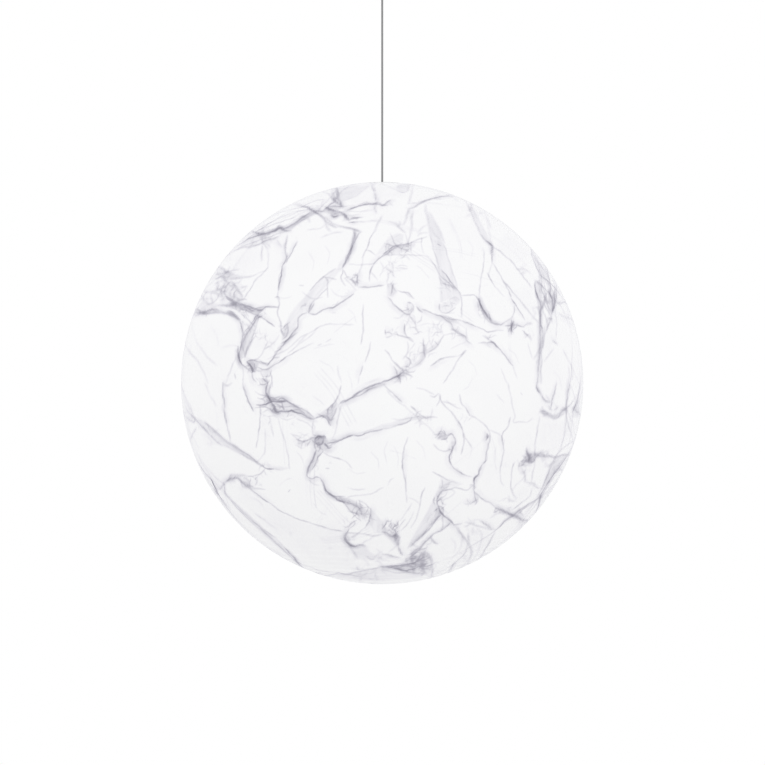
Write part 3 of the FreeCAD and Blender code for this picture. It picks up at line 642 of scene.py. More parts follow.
    "faint": """
# upper left
-98 309, -80 308, -65 309, -50 311
-70 299, -56 303, -42 309
-66 300, -40 300, -20 302
-120 305, -134 303, -150 298, -170 289
-205 283, -190 292, -176 300
-160 287, -140 298, -126 301
-100 277, -110 270, -130 268
-200 230, -199 215, -200 200
-240 185, -228 187, -216 192, -206 196
-278 179, -262 181, -246 184, -230 185
-258 172, -262 165, -268 158
-296 170, -280 180, -264 183, -248 184
-150 66, -135 82, -115 95, -100 102, -80 103, -50 102
-165 52, -140 72, -126 82, -116 91
-200 42, -180 52, -162 62, -147 77, -132 86
-146 58, -134 64, -120 70
-205 60, -190 70, -180 84
-225 38, -214 46, -206 60, -200 72
-46 163, -58 176, -66 184
-30 232, -33 222, -36 205, -42 188
-28 233, -32 224, -36 219
-14 208, -20 197, -14 188, -8 180
-58 208, -40 207, -22 208, -8 210
-318 30, -310 15, -304 0
-320 66, -310 51, -300 40, -290 32
-244 30, -243 15, -243 0
-256 44, -262 30, -268 14, -273 0
-78 30, -76 16, -71 0
-40 12, -42 0
-22 346, -35 335, -50 325, -68 318
-50 283, -38 282, -22 283, -8 284
-140 160, -128 150, -116 148, -104 150
-90 165, -84 158, -76 152
-330 132, -326 126, -322 120
-105 255, -88 262, -70 264
-84 296, -70 293, -56 293, -40 295
# upper right
45 313, 60 315, 76 315
40 263, 44 250, 45 240
112 327, 120 330, 128 330
86 272, 90 262, 100 252
83 265, 86 250, 90 232, 97 212, 100 195
82 300, 90 286, 98 272, 104 258, 110 244
113 224, 118 210, 122 197, 127 182, 132 165
27 241, 40 243, 55 246, 68 247
68 247, 70 236, 72 228
3 225, 20 224, 45 224, 76 222, 84 214
62 257, 68 262, 79 263
62 262, 70 272, 77 276
24 200, 32 201, 44 200
9 195, 11 186, 8 176
38 160, 48 152, 56 147
20 114, 30 114, 36 120, 44 122
48 118, 45 108, 40 98
57 70, 52 62, 46 54, 38 44
44 72, 46 62, 43 52, 36 42
75 45, 68 38, 60 31, 50 26, 40 22
147 96, 147 86, 150 76
132 47, 138 50, 146 58
192 208, 188 198, 186 186
180 298, 185 285, 190 270
228 31, 232 20, 236 8
208 25, 212 14, 218 0
255 70, 258 56, 262 44
262 235, 274 219, 284 206, 291 192
303 121, 305 102, 304 80
300 60, 290 48, 284 38
329 34, 333 18, 331 4
325 30, 327 14, 326 0
308 158, 304 152, 308 144
176 236, 178 225, 178 213
186 268, 188 258, 190 244
108 84, 118 86, 128 86
118 146, 128 150, 134 146
198 168, 205 160, 212 152
# lower left
-345 -35, -342 -45, -335 -55, -328 -60
-352 -4, -342 -28, -332 -46
-300 -92, -285 -105, -268 -113, -250 -122, -230 -133, -207 -147
-325 -62, -306 -72, -290 -84
-240 -161, -252 -163, -266 -162
-205 -80, -204 -100, -206 -125
-182 -60, -178 -78, -172 -95, -167 -115, -164 -130, -162 -150
-197 -58, -193 -78, -190 -94
-150 -62, -140 -66, -128 -72, -120 -80
-119 -63, -122 -75, -122 -85, -118 -95
-80 -78, -83 -88, -87 -96
-155 -90, -147 -93, -140 -96, -134 -90
-70 -134, -60 -140, -52 -150
-60 -199, -42 -196, -20 -194, -6 -186, 2 -182
-60 -183, -48 -186, -30 -185
-130 -167, -122 -175, -110 -179
-12 -266, -22 -273, -34 -280, -28 -284
-240 -178, -222 -183, -204 -186
-250 -170, -242 -180, -226 -184, -205 -186
-262 -229, -240 -256, -215 -278, -190 -296, -165 -309
-292 -190, -276 -214, -256 -236, -232 -260
-165 -309, -140 -322, -116 -332, -90 -338, -60 -342
-325 -118, -315 -140, -300 -162
-318 -145, -308 -158, -300 -166
-118 -324, -102 -335, -86 -337, -60 -337
-10 -290, -2 -296
-282 -182, -276 -190, -274 -196
-310 0, -302 -18, -290 -40
-332 -92, -325 -105, -320 -116
-120 -85, -118 -76, -122 -70
-220 -138, -211 -130, -204 -120
-222 -228, -200 -244, -186 -254
# lower right
8 -12, 20 -26, 38 -40
38 -38, 50 -50, 66 -64, 84 -80, 93 -90
18 -62, 35 -64, 52 -60, 76 -58, 96 -60
42 -160, 41 -176, 43 -208
103 -32, 116 -35, 130 -42, 141 -46
120 -50, 128 -62, 137 -73
141 -86, 147 -98, 158 -114
88 -45, 86 -56, 85 -66
60 -8, 75 -12, 91 -20
188 -82, 200 -87, 208 -92
206 -158, 208 -172, 213 -180
220 0, 223 -15, 227 -35, 230 -50, 232 -60, 229 -68, 240 -68, 253 -68, 262 -62
250 -162, 244 -169, 236 -176, 228 -187
232 -138, 229 -145
325 -131, 306 -168, 280 -207, 254 -238, 228 -262
295 -138, 291 -156, 284 -172
188 -236, 198 -230, 206 -226
108 -188, 120 -186, 127 -191, 116 -200, 104 -206
64 -222, 58 -240, 50 -253
55 -225, 47 -242, 33 -258
52 -210, 42 -226, 32 -240
12 -295, 22 -287, 30 -280
140 -268, 138 -285, 128 -300
175 -262, 172 -280, 168 -294, 160 -307
118 -326, 110 -332, 100 -336
150 -262, 152 -280, 156 -298, 148 -312
200 -20, 208 -28, 213 -34
112 -30, 120 -36, 128 -38
328 -2, 335 -18, 338 -34
10 -178, 14 -170, 20 -166
240 -140, 238 -150, 244 -158
345 4, 344 -14, 342 -32
46 -200, 58 -205, 66 -212
""",
    "hair": """
-180 150, -170 148, -158 152
-60 130, -50 120, -45 105
-120 60, -100 66, -84 68
-110 40, -92 30, -84 18
-60 20, -55 5, -52 -12
5 200, 22 196, 44 200
60 206, 72 196, 82 184
62 100, 80 104, 98 102
120 60, 132 66, 146 72
150 40, 160 30, 166 14
158 8, 150 -6, 142 -12
-150 -120, -140 -132, -136 -146
-180 -180, -170 -170, -158 -166
-120 -210, -110 -224, -94 -232
-100 -40, -110 -30, -122 -22
20 -110, 28 -128, 26 -150
10 -100, 4 -118, 8 -140
60 -100, 72 -116, 76 -134
150 -100, 156 -116, 152 -132
200 -110, 196 -130, 200 -152
120 -270, 128 -282, 126 -296
215 -200, 205 -206, 196 -204
-240 60, -262 66, -280 62
-300 100, -290 84, -286 66
-130 230, -120 214, -122 196
-100 240, -92 226, -96 208
150 250, 158 236, 156 218
220 60, 232 50, 240 34
300 20, 310 8, 314 -10
-230 -200, -216 -206, -206 -218
-60 -150, -44 -158, -28 -156
-20 -120, -8 -134, -6 -150
""",
    "wide": """
-215 262, -196 266, -178 271, -160 272, -145 284, -130 293, -118 298
-96 304, -88 298, -80 296, -70 296
-48 262, -50 246, -56 228, -64 210
-314 124, -300 124, -286 125
-262 140, -244 134, -226 128, -214 126
-270 124, -258 117, -250 110
-230 100, -236 86, -242 70, -246 54, -248 40
-228 78, -234 62, -238 46
-230 34, -226 24, -222 28
-176 186, -178 176, -180 166
-164 104, -168 92, -172 80
4 224, 14 232, 28 240, 42 238
172 136, 178 124, 188 112, 200 106, 212 103
276 174, 276 150, 276 124, 276 96, 275 60, 273 30
284 178, 291 170, 294 152, 298 134
73 64, 74 50, 68 38, 56 28
12 6, 26 12, 38 18, 50 14
104 118, 118 110, 132 106
-204 -4, -200 -20, -192 -34, -186 -46, -176 -50, -150 -50, -122 -62
-96 -48, -90 -62, -86 -42
-115 -98, -108 -100, -100 -98, -96 -106
-118 -122, -124 -140, -128 -156
-104 -176, -96 -188, -84 -200, -70 -206
-52 -210, -40 -220, -26 -226
-62 -266, -60 -276, -50 -284, -34 -284
-262 -206, -236 -230, -208 -256, -182 -282, -158 -306
-310 -70, -280 -96, -250 -118, -214 -142
-262 -108, -240 -122, -220 -136
12 -322, 30 -324, 50 -322, 72 -316
56 -308, 66 -300, 76 -304
14 -264, 24 -270, 28 -282
60 -274, 76 -258, 92 -240, 102 -228
256 -134, 264 -130, 276 -126
280 -50, 292 -57, 306 -58, 318 -46
322 -46, 323 -20, 324 4
206 -222, 222 -228, 238 -236
264 -208, 240 -222, 212 -244
284 -178, 296 -156, 312 -138
-30 -14, -14 -6, 4 -2
98 -196, 106 -184, 114 -176
162 -200, 164 -208, 158 -208
""",
}

# Places where the veil lies double: each line is a patch's outline, and a class is its darkness.
PATCH_CLASSES = {
    "dense": 0.2,
    "middle": 0.135,
    "light": 0.105,
    "trace": 0.02,
}

PATCHES = {
    "dense": """
-104 299, -97 307, -84 303, -74 298, -76 292, -84 289, -92 295
-236 36, -232 40, -222 40, -215 36, -218 28, -222 20, -227 18, -232 22
-170 270, -158 278, -145 286, -130 295, -122 301, -112 297, -130 288, -148 277, -160 267
96 -98, 99 -90, 104 -85, 112 -90, 114 -96, 104 -99
-118 -96, -112 -92, -100 -92, -98 -97, -104 -98, -112 -98
243 -138, 250 -134, 254 -122, 262 -122, 266 -134, 258 -139
""",
    "middle": """
-224 262, -200 264, -180 272, -160 280, -140 292, -120 302, -104 300, -118 295, -150 278, -170 266, -205 257
-90 332, -78 338, -76 326, -68 307, -97 306, -88 318
-44 262, -50 268, -56 240, -62 216, -69 202, -58 214, -46 244
-280 136, -262 141, -245 135, -224 128, -214 126, -218 118, -230 121, -248 128, -264 134
-288 128, -270 125, -250 112, -262 118, -280 122, -312 121, -312 126
-216 115, -224 90, -234 64, -240 44, -250 44, -250 60, -243 74, -232 94
166 150, 172 140, 180 126, 190 112, 206 104, 216 104, 200 101, 188 106, 176 120, 168 138
-184 -31, -165 -32, -140 -44, -119 -62, -142 -56, -160 -49, -182 -53, -194 -40
-114 -58, -100 -46, -88 -38, -80 -30, -79 -44, -84 -58, -90 -73, -96 -62
-204 -2, -194 -2, -196 -20, -188 -34, -200 -36, -204 -20
-75 -200, -60 -200, -45 -207, -36 -217, -21 -222, -20 -234, -34 -238, -46 -230, -60 -222, -68 -210
-270 -201, -260 -206, -238 -228, -216 -246, -200 -261, -184 -275, -168 -291, -152 -309,
-164 -302, -184 -285, -208 -265, -232 -242, -252 -222
0 -318, 30 -315, 50 -306, 70 -292, 82 -298, 88 -316, 75 -321, 50 -328, 35 -331, 14 -327, 0 -325
0 -246, 12 -256, 30 -266, 30 -282, 22 -284, 10 -270, 0 -262
274 -201, 255 -214, 235 -229, 215 -243, 200 -256, 212 -239, 234 -223, 258 -209
300 -131, 325 -126, 304 -154, 284 -184, 275 -204, 282 -172, 291 -146
""",
    "light": """
275 -52, 285 -46, 293 -54, 305 -55, 312 -45, 325 -40, 325 -50, 312 -58, 300 -64, 288 -58
268 176, 274 182, 279 174, 280 150, 279 110, 280 60, 277 0, 271 0, 274 60, 275 130
296 164, 304 160, 306 148, 302 138, 297 124, 291 132, 290 150
100 138, 108 139, 120 148, 130 148, 133 139, 126 133, 116 126, 106 122, 100 128
0 222, 10 232, 27 241, 42 242, 58 246, 58 240, 48 231, 30 226, 12 224
-256 232, -242 248, -222 258, -205 257, -188 256, -178 258, -182 251, -200 247, -216 240, -238 236
-85 340, -50 346, -22 348, -34 335, -56 323, -70 318, -76 326
-69 202, -82 200, -92 193, -104 186, -118 172, -135 152, -150 136, -162 120, -170 100, -176 78,
-166 82, -152 96, -146 114, -130 134, -114 150, -100 166, -84 184
-282 203, -264 193, -250 189, -230 186, -262 180, -282 184, -292 181
-280 162, -264 177, -252 164, -242 148, -258 142, -274 148
-322 134, -312 148, -305 139, -290 140, -280 137, -300 128, -318 126
-182 60, -166 70, -150 90, -148 100, -156 96, -170 84
-12 222, 0 240, 12 256, 26 262, 38 260, 36 248, 22 240, 8 232
24 341, 30 346, 40 347, 48 346, 46 338, 38 333, 30 335
85 322, 95 331, 112 327, 100 324
76 312, 80 300, 88 288, 97 274, 104 259, 110 240, 118 211, 123 196, 132 163, 139 150, 134 140,
120 148, 101 140, 100 180, 92 224, 86 250, 80 284
148 312, 158 309, 165 296, 173 280, 181 264, 188 250, 192 239, 184 246, 172 260, 160 284
72 76, 78 60, 88 66, 100 76, 108 86, 98 66, 80 52, 66 36, 50 28, 40 20, 52 30, 64 42, 71 60
262 233, 275 213, 290 195, 292 180, 284 184, 276 190, 266 210
-90 -104, -60 -95, -30 -88, 0 -81, 0 -72, -24 -82, -60 -90
0 -81, 28 -74, 50 -66, 96 -60, 62 -57, 44 -60, 20 -68, 0 -72
-125 -95, -118 -90, -100 -91, -96 -104, -92 -114, -104 -120, -114 -120, -122 -108
-104 -120, -112 -130, -124 -154, -131 -162, -127 -142, -116 -118
-20 -218, -8 -232, 4 -246, 10 -262, -4 -262, -14 -262, -22 -246
-58 -284, -30 -286, -16 -299, 0 -304, 2 -309, -24 -308, -46 -308
-84 -335, -60 -332, -35 -327, 0 -321, 60 -324, 80 -320, 92 -330, 60 -340, 0 -346, -50 -344
88 -205, 98 -213, 99 -228, 86 -245, 66 -269, 50 -285, 42 -293, 50 -274, 64 -250, 78 -225
88 -205, 97 -199, 107 -190, 120 -186, 141 -176, 120 -168, 103 -165, 99 -181, 92 -195
-330 -62, -300 -76, -270 -101, -240 -121, -205 -148, -236 -132, -270 -112, -302 -92
-200 -149, -180 -145, -160 -148, -178 -154
-70 -36, -50 -26, -30 -18, 0 -6, 8 -2, 0 2, -28 -8, -44 -17, -62 -29
330 -60, 335 -40, 345 -30, 344 -60
196 -216, 212 -221, 245 -239, 230 -238, 206 -228
8 175, 20 172, 26 160, 18 150, 8 152
""",
    "trace": """
240 -211, 259 -197, 261 -180, 248 -176, 230 -190, 226 -204
22 30, 40 22, 56 30, 66 38, 60 24, 48 12, 30 12
100 200, 112 189, 132 163, 118 166, 102 172
-85 338, 0 348, 40 345, 50 320, 0 300, -60 310
-5 212, 12 204, 24 204, 30 190, 24 174, 12 170, 6 186, -4 200
-265 22, -250 42, -245 30, -254 10, -262 0, -274 0
60 100, 90 106, 120 104, 108 88, 76 84
-250 -168, -230 -165, -205 -155, -215 -174, -235 -181
-150 -60, -130 -66, -118 -90, -150 -88, -170 -70
60 -48, 80 -60, 93 -76, 98 -92, 86 -80, 70 -64
192 236, 215 270, 250 240, 262 222, 236 204, 212 222
270 -60, 300 -64, 340 -60, 336 -96, 300 -126, 272 -110
-190 -30, -176 -60, -200 -110, -214 -90, -214 -44
110 -330, 150 -312, 186 -292, 196 -258, 160 -250, 140 -266, 130 -300
-60 -226, -120 -246, -190 -212, -240 -182, -262 -204, -180 -280, -110 -322, -40 -330, -44 -290
-280 180, -236 180, -210 200, -204 248, -240 240, -264 222
252 176, 266 160, 262 110, 232 134, 222 162
-150 140, -110 150, -84 134, -120 120, -146 118
-236 60, -210 54, -184 60, -176 92, -200 104, -222 92
40 120, 70 124, 104 116, 80 104, 60 70, 48 78
284 100, 306 120, 308 80, 292 46, 282 60
-120 -170, -90 -190, -66 -196, -84 -172, -110 -150
""",
}

# Tangles of short threads where folds meet: "x z reach, x z reach, ...". A class is the darkness of a
# thread and the number of threads for each 10 mm of reach.
KNOT_CLASSES = {"dark": (0.36, 9), "plain": (0.23, 9), "pale": (0.125, 8)}
KNOTS = {
    "dark": """
-312 122 8, -272 152 12, -258 138 12, -218 120 10, -226 28 11, -82 297 11, -182 268 9, 258 -129 12,
102 -222 9, -112 -100 12, -184 -42 12, 24 10 11, 60 -316 20, 20 -262 12, -62 -206 8""",
    "plain": """
-276 168 17, -240 128 15, -210 120 11, -206 10 16, -246 42 9, -82 318 13, -66 289 9, -210 261 12,
-45 182 11, -278 192 14, -172 92 12, 14 232 14, 44 236 12, 292 150 15, 280 182 10, 226 96 11, 40 16 16,
48 128 13, -200 -28 15, -96 -54 14, -240 -176 13, -262 -168 9, -40 -222 17, -56 -272 10, 104 -90 12,
102 -204 14, 204 -222 9, 234 -233 13, 66 -300 20, 14 -250 17, 336 -46 10, 284 -50 12, 276 -196 8,
120 -118 7, 160 -180 9, 152 -206 8, -22 -236 14, 250 -138 14, 70 -322 14""",
    "pale": """
-300 152 20, -252 168 18, -236 98 16, -212 84 14, -190 62 16, -196 258 20, -236 246 16, -140 284 16,
-100 306 16, -54 178 14, -68 160 12, -130 128 14, 12 200 20, 30 216 18, 16 178 12, 110 170 16,
116 136 15, 180 122 14, 270 130 16, 296 112 14, 256 84 12, 58 100 18, 92 96 18, 130 86 16, 80 60 18,
52 40 14, 190 74 16, 20 90 12, -204 -60 16, -160 -62 16, -140 -100 16, -118 -140 12, -300 -90 18,
-340 -60 14, -220 -170 14, -200 -150 14, -60 -300 14, 0 -310 20, -30 -330 22, 60 -60 16, 76 -66 14,
146 -60 10, 110 -180 16, 90 -240 16, 160 -250 16, 220 -214 14, 290 -130 18, 306 -150 14, 310 -50 14,
252 -160 14, 262 -176 10, 84 -276 10, 140 -310 16, 90 -330 16, -60 -246 12, 250 200 14, 160 296 12""",
}

# ---------------------------------------------------------------- the web, as strands on the sphere

CAMERA_DISTANCE = 4.0               # from the globe's centre
GLOBE_MM = RADIUS / MM
EYE_MM = CAMERA_DISTANCE / MM
LIMB_MM = GLOBE_MM / math.sqrt(1 - (GLOBE_MM / EYE_MM) ** 2)
LIMB_SHARE = 0.9995                 # a drawn point lies within this share of the limb
SAMPLE_MM = 2.2                     # between the points of a strand
CURVE_PARTS = 12                    # of a drawn fold between two of its points
WAVES = ((0.55, 1), (0.3, 2.6), (0.15, 5.5))  # of a ripple: share of its height, waves in its longest
LINE_RIPPLE = (0.7, 26)             # height and longest wave, in millimetres for a line's own shape
DARK_RIPPLE = (0.3, 38)
WIDTH_RIPPLE = (0.22, 27)
THREAD_RIPPLE = (3.6, 55)           # of a thread beside a fold
KNOT_RIPPLE = (0.9, 26)
END_SAMPLES = 2.5                   # over which a strand tapers
MOST_DARK = 0.95                    # of a strand
THREADS_BESIDE = {"strong": 2, "clear": 1}
RUN_ON_FROM_MM = 324                # a drawn fold that ends farther out goes on round the sphere
RUN_ON_MM = (50, 130)
REACH = 1.65                        # a strand ends at this many half-widths
LEAST_REACH = 1.15                  # mesh steps that the thinnest strand covers to each side
FILAMENT_MM = (13.0, 1.25)          # length and pitch of the fibres within a strand
FIBRE_TONE = (0.62, 0.76)           # darkness between fibres, and what a fibre adds
HALO_FROM = 0.3                     # a strand at least this dark has a soft shade along one side
HALO_MM = 10.0
HALO_SHARE = 0.2
HALO_CLOUD_MM = (21, 3.5)
HALO_TONE = (0.3, 1.4)
CELL_MM = 12.0                      # of the grid that finds the mesh points near a strand
CELL_SHIFT = 100                    # makes every cell's number positive
CELL_ROW = 256
MOST_PAIRS = 600000                 # of points and runs that are measured in one go
PATCH_EDGE_MM = 1.5                 # over which a patch fades in
TRACE_EDGE = 6                      # times as far for the faintest class
PATCH_MARGIN_MM = 4
PATCH_FINE_MM = (26, 2.6)           # length and pitch of the streaks in a patch
PATCH_BROAD_MM = (30, 13)
PATCH_TONE = (0.3, 0.65, 0.6)       # plain darkness, fine streaks, broad streaks
HEM_MM = 1.6                        # the darker edge of a patch
HEM_SHARE = 0.35
FACING = (0.04, 0.22)               # a patch fades where the sphere turns away
SEAM_MM = 30.0                      # the two webs fade over this depth where they meet
BACK_ROLL = math.radians(137)       # turns the same web before it is laid on the far side
LIMB_STRANDS = 60
LOOSE_HAIRS = 260

rng = np.random.default_rng(11)


def lines_of(block):
    """The folds or patches of a block: a line that ends with a comma goes on below."""
    rows = [row for row in block.splitlines() if row and not row.startswith("#")]
    return "\n".join(rows).replace(",\n", ", ").split("\n")


def pairs(text):
    """The points of a text like "x z, x z"."""
    return np.array([[float(v) for v in pair.split()] for pair in text.split(",")])


def unit(rows):
    """Each row as a direction of length 1."""
    return rows / np.linalg.norm(rows, axis=1)[:, None]


def on_globe(flat):
    """Where the camera sees flat points (x, z) on the near side of the sphere."""
    reach = np.hypot(flat[:, 0], flat[:, 1])
    flat = flat * np.minimum(1, LIMB_SHARE * LIMB_MM / np.maximum(reach, 1))[:, None]
    ray = np.column_stack((flat[:, 0], np.full(len(flat), EYE_MM), flat[:, 1]))
    square = (ray ** 2).sum(axis=1)
    root = np.sqrt(np.maximum(EYE_MM ** 4 - square * (EYE_MM ** 2 - GLOBE_MM ** 2), 0))
    return ray * ((EYE_MM ** 2 - root) / square)[:, None] - (0, EYE_MM, 0)


def ripple(length, amount, longest):
    """A smooth random run of values along a strand, one for each sample."""
    along = np.arange(length) * SAMPLE_MM
    total = np.zeros(length)
    for share, waves in WAVES:
        wave = longest / waves * rng.uniform(0.8, 1.25)
        total += share * np.sin(2 * math.pi * along / wave + rng.uniform(0, 7))
    return amount * total


def smooth_line(points):
    """A Catmull-Rom curve through flat points, sampled evenly."""
    ends = np.vstack((2 * points[0] - points[1], points, 2 * points[-1] - points[-2]))
    dense = []
    for before, start, end, after in zip(ends, ends[1:], ends[2:], ends[3:]):
        t = np.linspace(0, 1, CURVE_PARTS, endpoint=False)[:, None]
        squared = (2 * before - 5 * start + 4 * end - after) * t ** 2
        cubed = (3 * start - before - 3 * end + after) * t ** 3
        dense.append(0.5 * (2 * start + (end - before) * t + squared + cubed))
    dense = np.vstack(dense + [points[-1:]])
    steps = np.hypot(*np.diff(dense, axis=0).T)
    run = np.concatenate(([0], np.cumsum(steps)))
    count = max(3, int(run[-1] / SAMPLE_MM) + 1)
    even = np.linspace(0, run[-1], count)
    return np.column_stack((np.interp(even, run, dense[:, 0]), np.interp(even, run, dense[:, 1])))


def sideways(line, offset):
    """A flat line moved aside by an offset at each sample."""
    heading = np.gradient(line, axis=0)
    heading /= np.maximum(np.hypot(*heading.T), 1e-6)[:, None]
    return line + np.column_stack((-heading[:, 1], heading[:, 0])) * offset[:, None]


def ease(count, samples):
    """0 at both ends and 1 between them, with a rise over some samples."""
    here = np.arange(count)
    return np.clip(np.minimum(here, count - 1 - here) / samples, 0, 1)


def strand(points, dark, width, taper=0.5):
    """A strand on the sphere: its samples, and its darkness and half-width at each of them."""
    count = len(points)
    ends = taper + (1 - taper) * ease(count, END_SAMPLES)
    dark = dark * ends * (1 + ripple(count, *DARK_RIPPLE))
    width = width * (0.7 + 0.3 * ends) * (1 + ripple(count, *WIDTH_RIPPLE))
    return points, np.clip(dark, 0, MOST_DARK), width


def seen_width(points):
    """How much wider a strand near the limb has to be, because the camera sees it from the side."""
    across = np.cross(np.gradient(points, axis=0), unit(points))
    across /= np.maximum(np.linalg.norm(across, axis=1), 1e-9)[:, None]
    sight = unit(points + (0, EYE_MM, 0))
    seen = np.sqrt(np.maximum(1 - (across * sight).sum(axis=1) ** 2, 0))
    return 1 / np.maximum(seen, 0.5)


def run_on(points, length):
    """A strand that reaches the limb goes on round the sphere."""
    start = points[-1]
    heading = points[-1] - points[-3]
    axis = np.cross(start, heading)
    axis /= np.linalg.norm(axis)
    side = np.cross(axis, start)
    turn = np.arange(1, int(length / SAMPLE_MM)) * SAMPLE_MM / GLOBE_MM
    drift = np.cumsum(ripple(len(turn), 0.5, 60))[:, None]
    line = start * np.cos(turn)[:, None] + side * np.sin(turn)[:, None] + axis * drift
    return unit(line) * GLOBE_MM


def drawn_strands():
    """The listed folds, the loose threads beside them and their ends past the limb."""
    strands = []
    for kind, (dark, width) in FOLD_CLASSES.items():
        for text in lines_of(FOLDS[kind]):
            line = smooth_line(pairs(text))
            count = len(line)
            line = sideways(line, ripple(count, *LINE_RIPPLE) * ease(count, 4))
            points = on_globe(line)
            strands.append(strand(points, dark, width * seen_width(points)))
            for _ in range(THREADS_BESIDE.get(kind, 0) if count > 9 else 0):
                first = rng.integers(0, count // 3)
                last = count - rng.integers(0, count // 3)
                aside = rng.uniform(-1.5, 1.5) + ripple(count, *THREAD_RIPPLE)
                points = on_globe(sideways(line, aside)[first:last])
                thin = dark * rng.uniform(0.22, 0.4)
                strands.append(strand(points, thin, 0.85 * seen_width(points), 0.1))
            for end in (line, line[::-1]):
                heading = end[-1] - end[-3 if count > 2 else -2]
                if math.hypot(*end[-1]) > RUN_ON_FROM_MM and heading @ end[-1] > 0:
                    rest = run_on(on_globe(end), rng.uniform(*RUN_ON_MM))
                    fade = np.linspace(1, 0.15, len(rest))
                    strands.append((rest, dark * 0.8 * fade, width * (1.1 + 0 * fade)))
    return strands


def knot_threads():
    """Tangles of short threads at the places where folds meet."""
    strands = []
    for kind, (dark, number) in KNOT_CLASSES.items():
        for x, z, reach in pairs(KNOTS[kind]):
            for _ in range(int(number * reach / 10)):
                turn = rng.uniform(0, 2 * math.pi)
                away = reach * 0.8 * math.sqrt(rng.uniform())
                count = max(4, int(rng.uniform(0.5, 1.7) * reach / SAMPLE_MM))
                heading = rng.uniform(0, 2 * math.pi) + ripple(count, *KNOT_RIPPLE)
                steps = np.column_stack((np.cos(heading), np.sin(heading))) * SAMPLE_MM
                line = np.cumsum(steps, axis=0) - steps.sum(axis=0) / 2
                middle = (x + away * math.cos(turn), z + away * math.sin(turn))
                points = on_globe(line + middle)
                width = rng.uniform(0.7, 1.15) * seen_width(points)
                strands.append(strand(points, dark * rng.uniform(0.4, 1.5), width, 0.1))
    return strands


def any_direction():
    """A random direction."""
    way = rng.normal(size=3)
    return way / np.linalg.norm(way)


def wandering(start, length, bend):
    """A loose strand from a point of the sphere, along a great circle that bends at random."""
    here = start / np.linalg.norm(start)
    heading = np.cross(here, any_direction())
    heading /= np.linalg.norm(heading)
    count = max(4, int(length / SAMPLE_MM))
    turn = ripple(count, bend, 70) + rng.normal() * bend / 4
    points = []
    for k in range(count):
        points.append(here)
        side = np.cross(here, heading)
        heading = heading + side * turn[k]
        here = here + heading / np.linalg.norm(heading) * SAMPLE_MM / GLOBE_MM
        here = here / np.linalg.norm(here)
        heading = heading - here * (heading @ here)
        heading /= np.linalg.norm(heading)
    return np.array(points) * GLOBE_MM


def loose_hairs(count):
    """Bunches of fine hairs all over the sphere."""
    strands = []
    while len(strands) < count:
        base = wandering(any_direction(), rng.uniform(25, 120), 0.02)
        aside = np.cross(base[0], base[-1])
        aside /= np.linalg.norm(aside)
        for k in range(rng.integers(1, 5)):
            points = unit(base + aside * (k * rng.uniform(3, 8))) * GLOBE_MM
            strands.append(strand(points, rng.uniform(0.03, 0.085), rng.uniform(0.8, 1.1), 0.0))
    return strands


def limb_strands(count):
    """Folds that cross from the near side to the far side."""
    strands = []
    kinds = ("strong", "clear", "clear", "soft", "soft", "soft", "faint", "faint")
    for _ in range(count):
        turn = rng.uniform(0, 2 * math.pi)
        middle = np.array((math.cos(turn), rng.uniform(0.02, 0.34), math.sin(turn)))
        base = wandering(middle, rng.uniform(40, 170), 0.03)
        base = base[base[:, 1] > -0.16 * GLOBE_MM]
        if len(base) < 6:
            continue
        dark, width = FOLD_CLASSES[kinds[rng.integers(len(kinds))]]
        strands.append(strand(base, dark, width, 0.2))
        for _ in range(rng.integers(0, 3)):
            offset = unit(np.cross(base, np.gradient(base, axis=0)))
            points = unit(base + offset * ripple(len(base), 5.0, 60)[:, None]) * GLOBE_MM
            strands.append(strand(points, dark * 0.45, 0.95, 0.1))
    return strands


# ---------------------------------------------------------------- how dark the veil is at a point

def cells_of(points):
    """The cells of the grid that points lie in."""
    return np.floor(points / CELL_MM).astype(np.int64) + CELL_SHIFT


def cell_numbers(cells):
    """One whole number for each cell."""
    return (cells[:, 0] * CELL_ROW + cells[:, 1]) * CELL_ROW + cells[:, 2]


class Finder:
    """Finds the points that lie near a strand, by a grid of cells."""

    def __init__(self, points):
        numbers = cell_numbers(cells_of(points))
        self.order = np.argsort(numbers, kind="stable")
        self.numbers = numbers[self.order]

    def near(self, line):
        """The numbers of the points in the cells of a line and in those next to them."""
        cells = np.unique(cells_of(line), axis=0)
        steps = np.array([(i, j, k) for i in (-1, 0, 1) for j in (-1, 0, 1) for k in (-1, 0, 1)])
        wanted = np.unique(cell_numbers((cells[:, None] + steps[None]).reshape(-1, 3)))
        low = np.searchsorted(self.numbers, wanted, side="left")
        high = np.searchsorted(self.numbers, wanted, side="right")
        parts = [self.order[a:b] for a, b in zip(low, high) if b > a]
        return np.concatenate(parts) if parts else np.zeros(0, np.int64)


def lattice_noise(spots, seed):
    """Smooth noise from 0 to 1 at flat spots, one value at each whole coordinate."""
    whole = np.floor(spots).astype(np.int64)
    part = spots - whole
    part = part * part * (3 - 2 * part)
    total = 0
    for i in (0, 1):
        for j in (0, 1):
            mixed = (whole[:, 0] + i) * 374761393 + (whole[:, 1] + j) * 668265263 + seed * 974711
            mixed = (mixed ^ (mixed >> 13)) * 1274126177
            value = ((mixed ^ (mixed >> 16)) & 65535) / 65535
            total = total + value * np.abs(1 - i - part[:, 0]) * np.abs(1 - j - part[:, 1])
    return total


def streaks(along, across, pitch, seed):
    """Smooth noise that is drawn out along a line: pitch is its size along the line and across it."""
    return lattice_noise(np.column_stack((along / pitch[0], across / pitch[1])), seed)


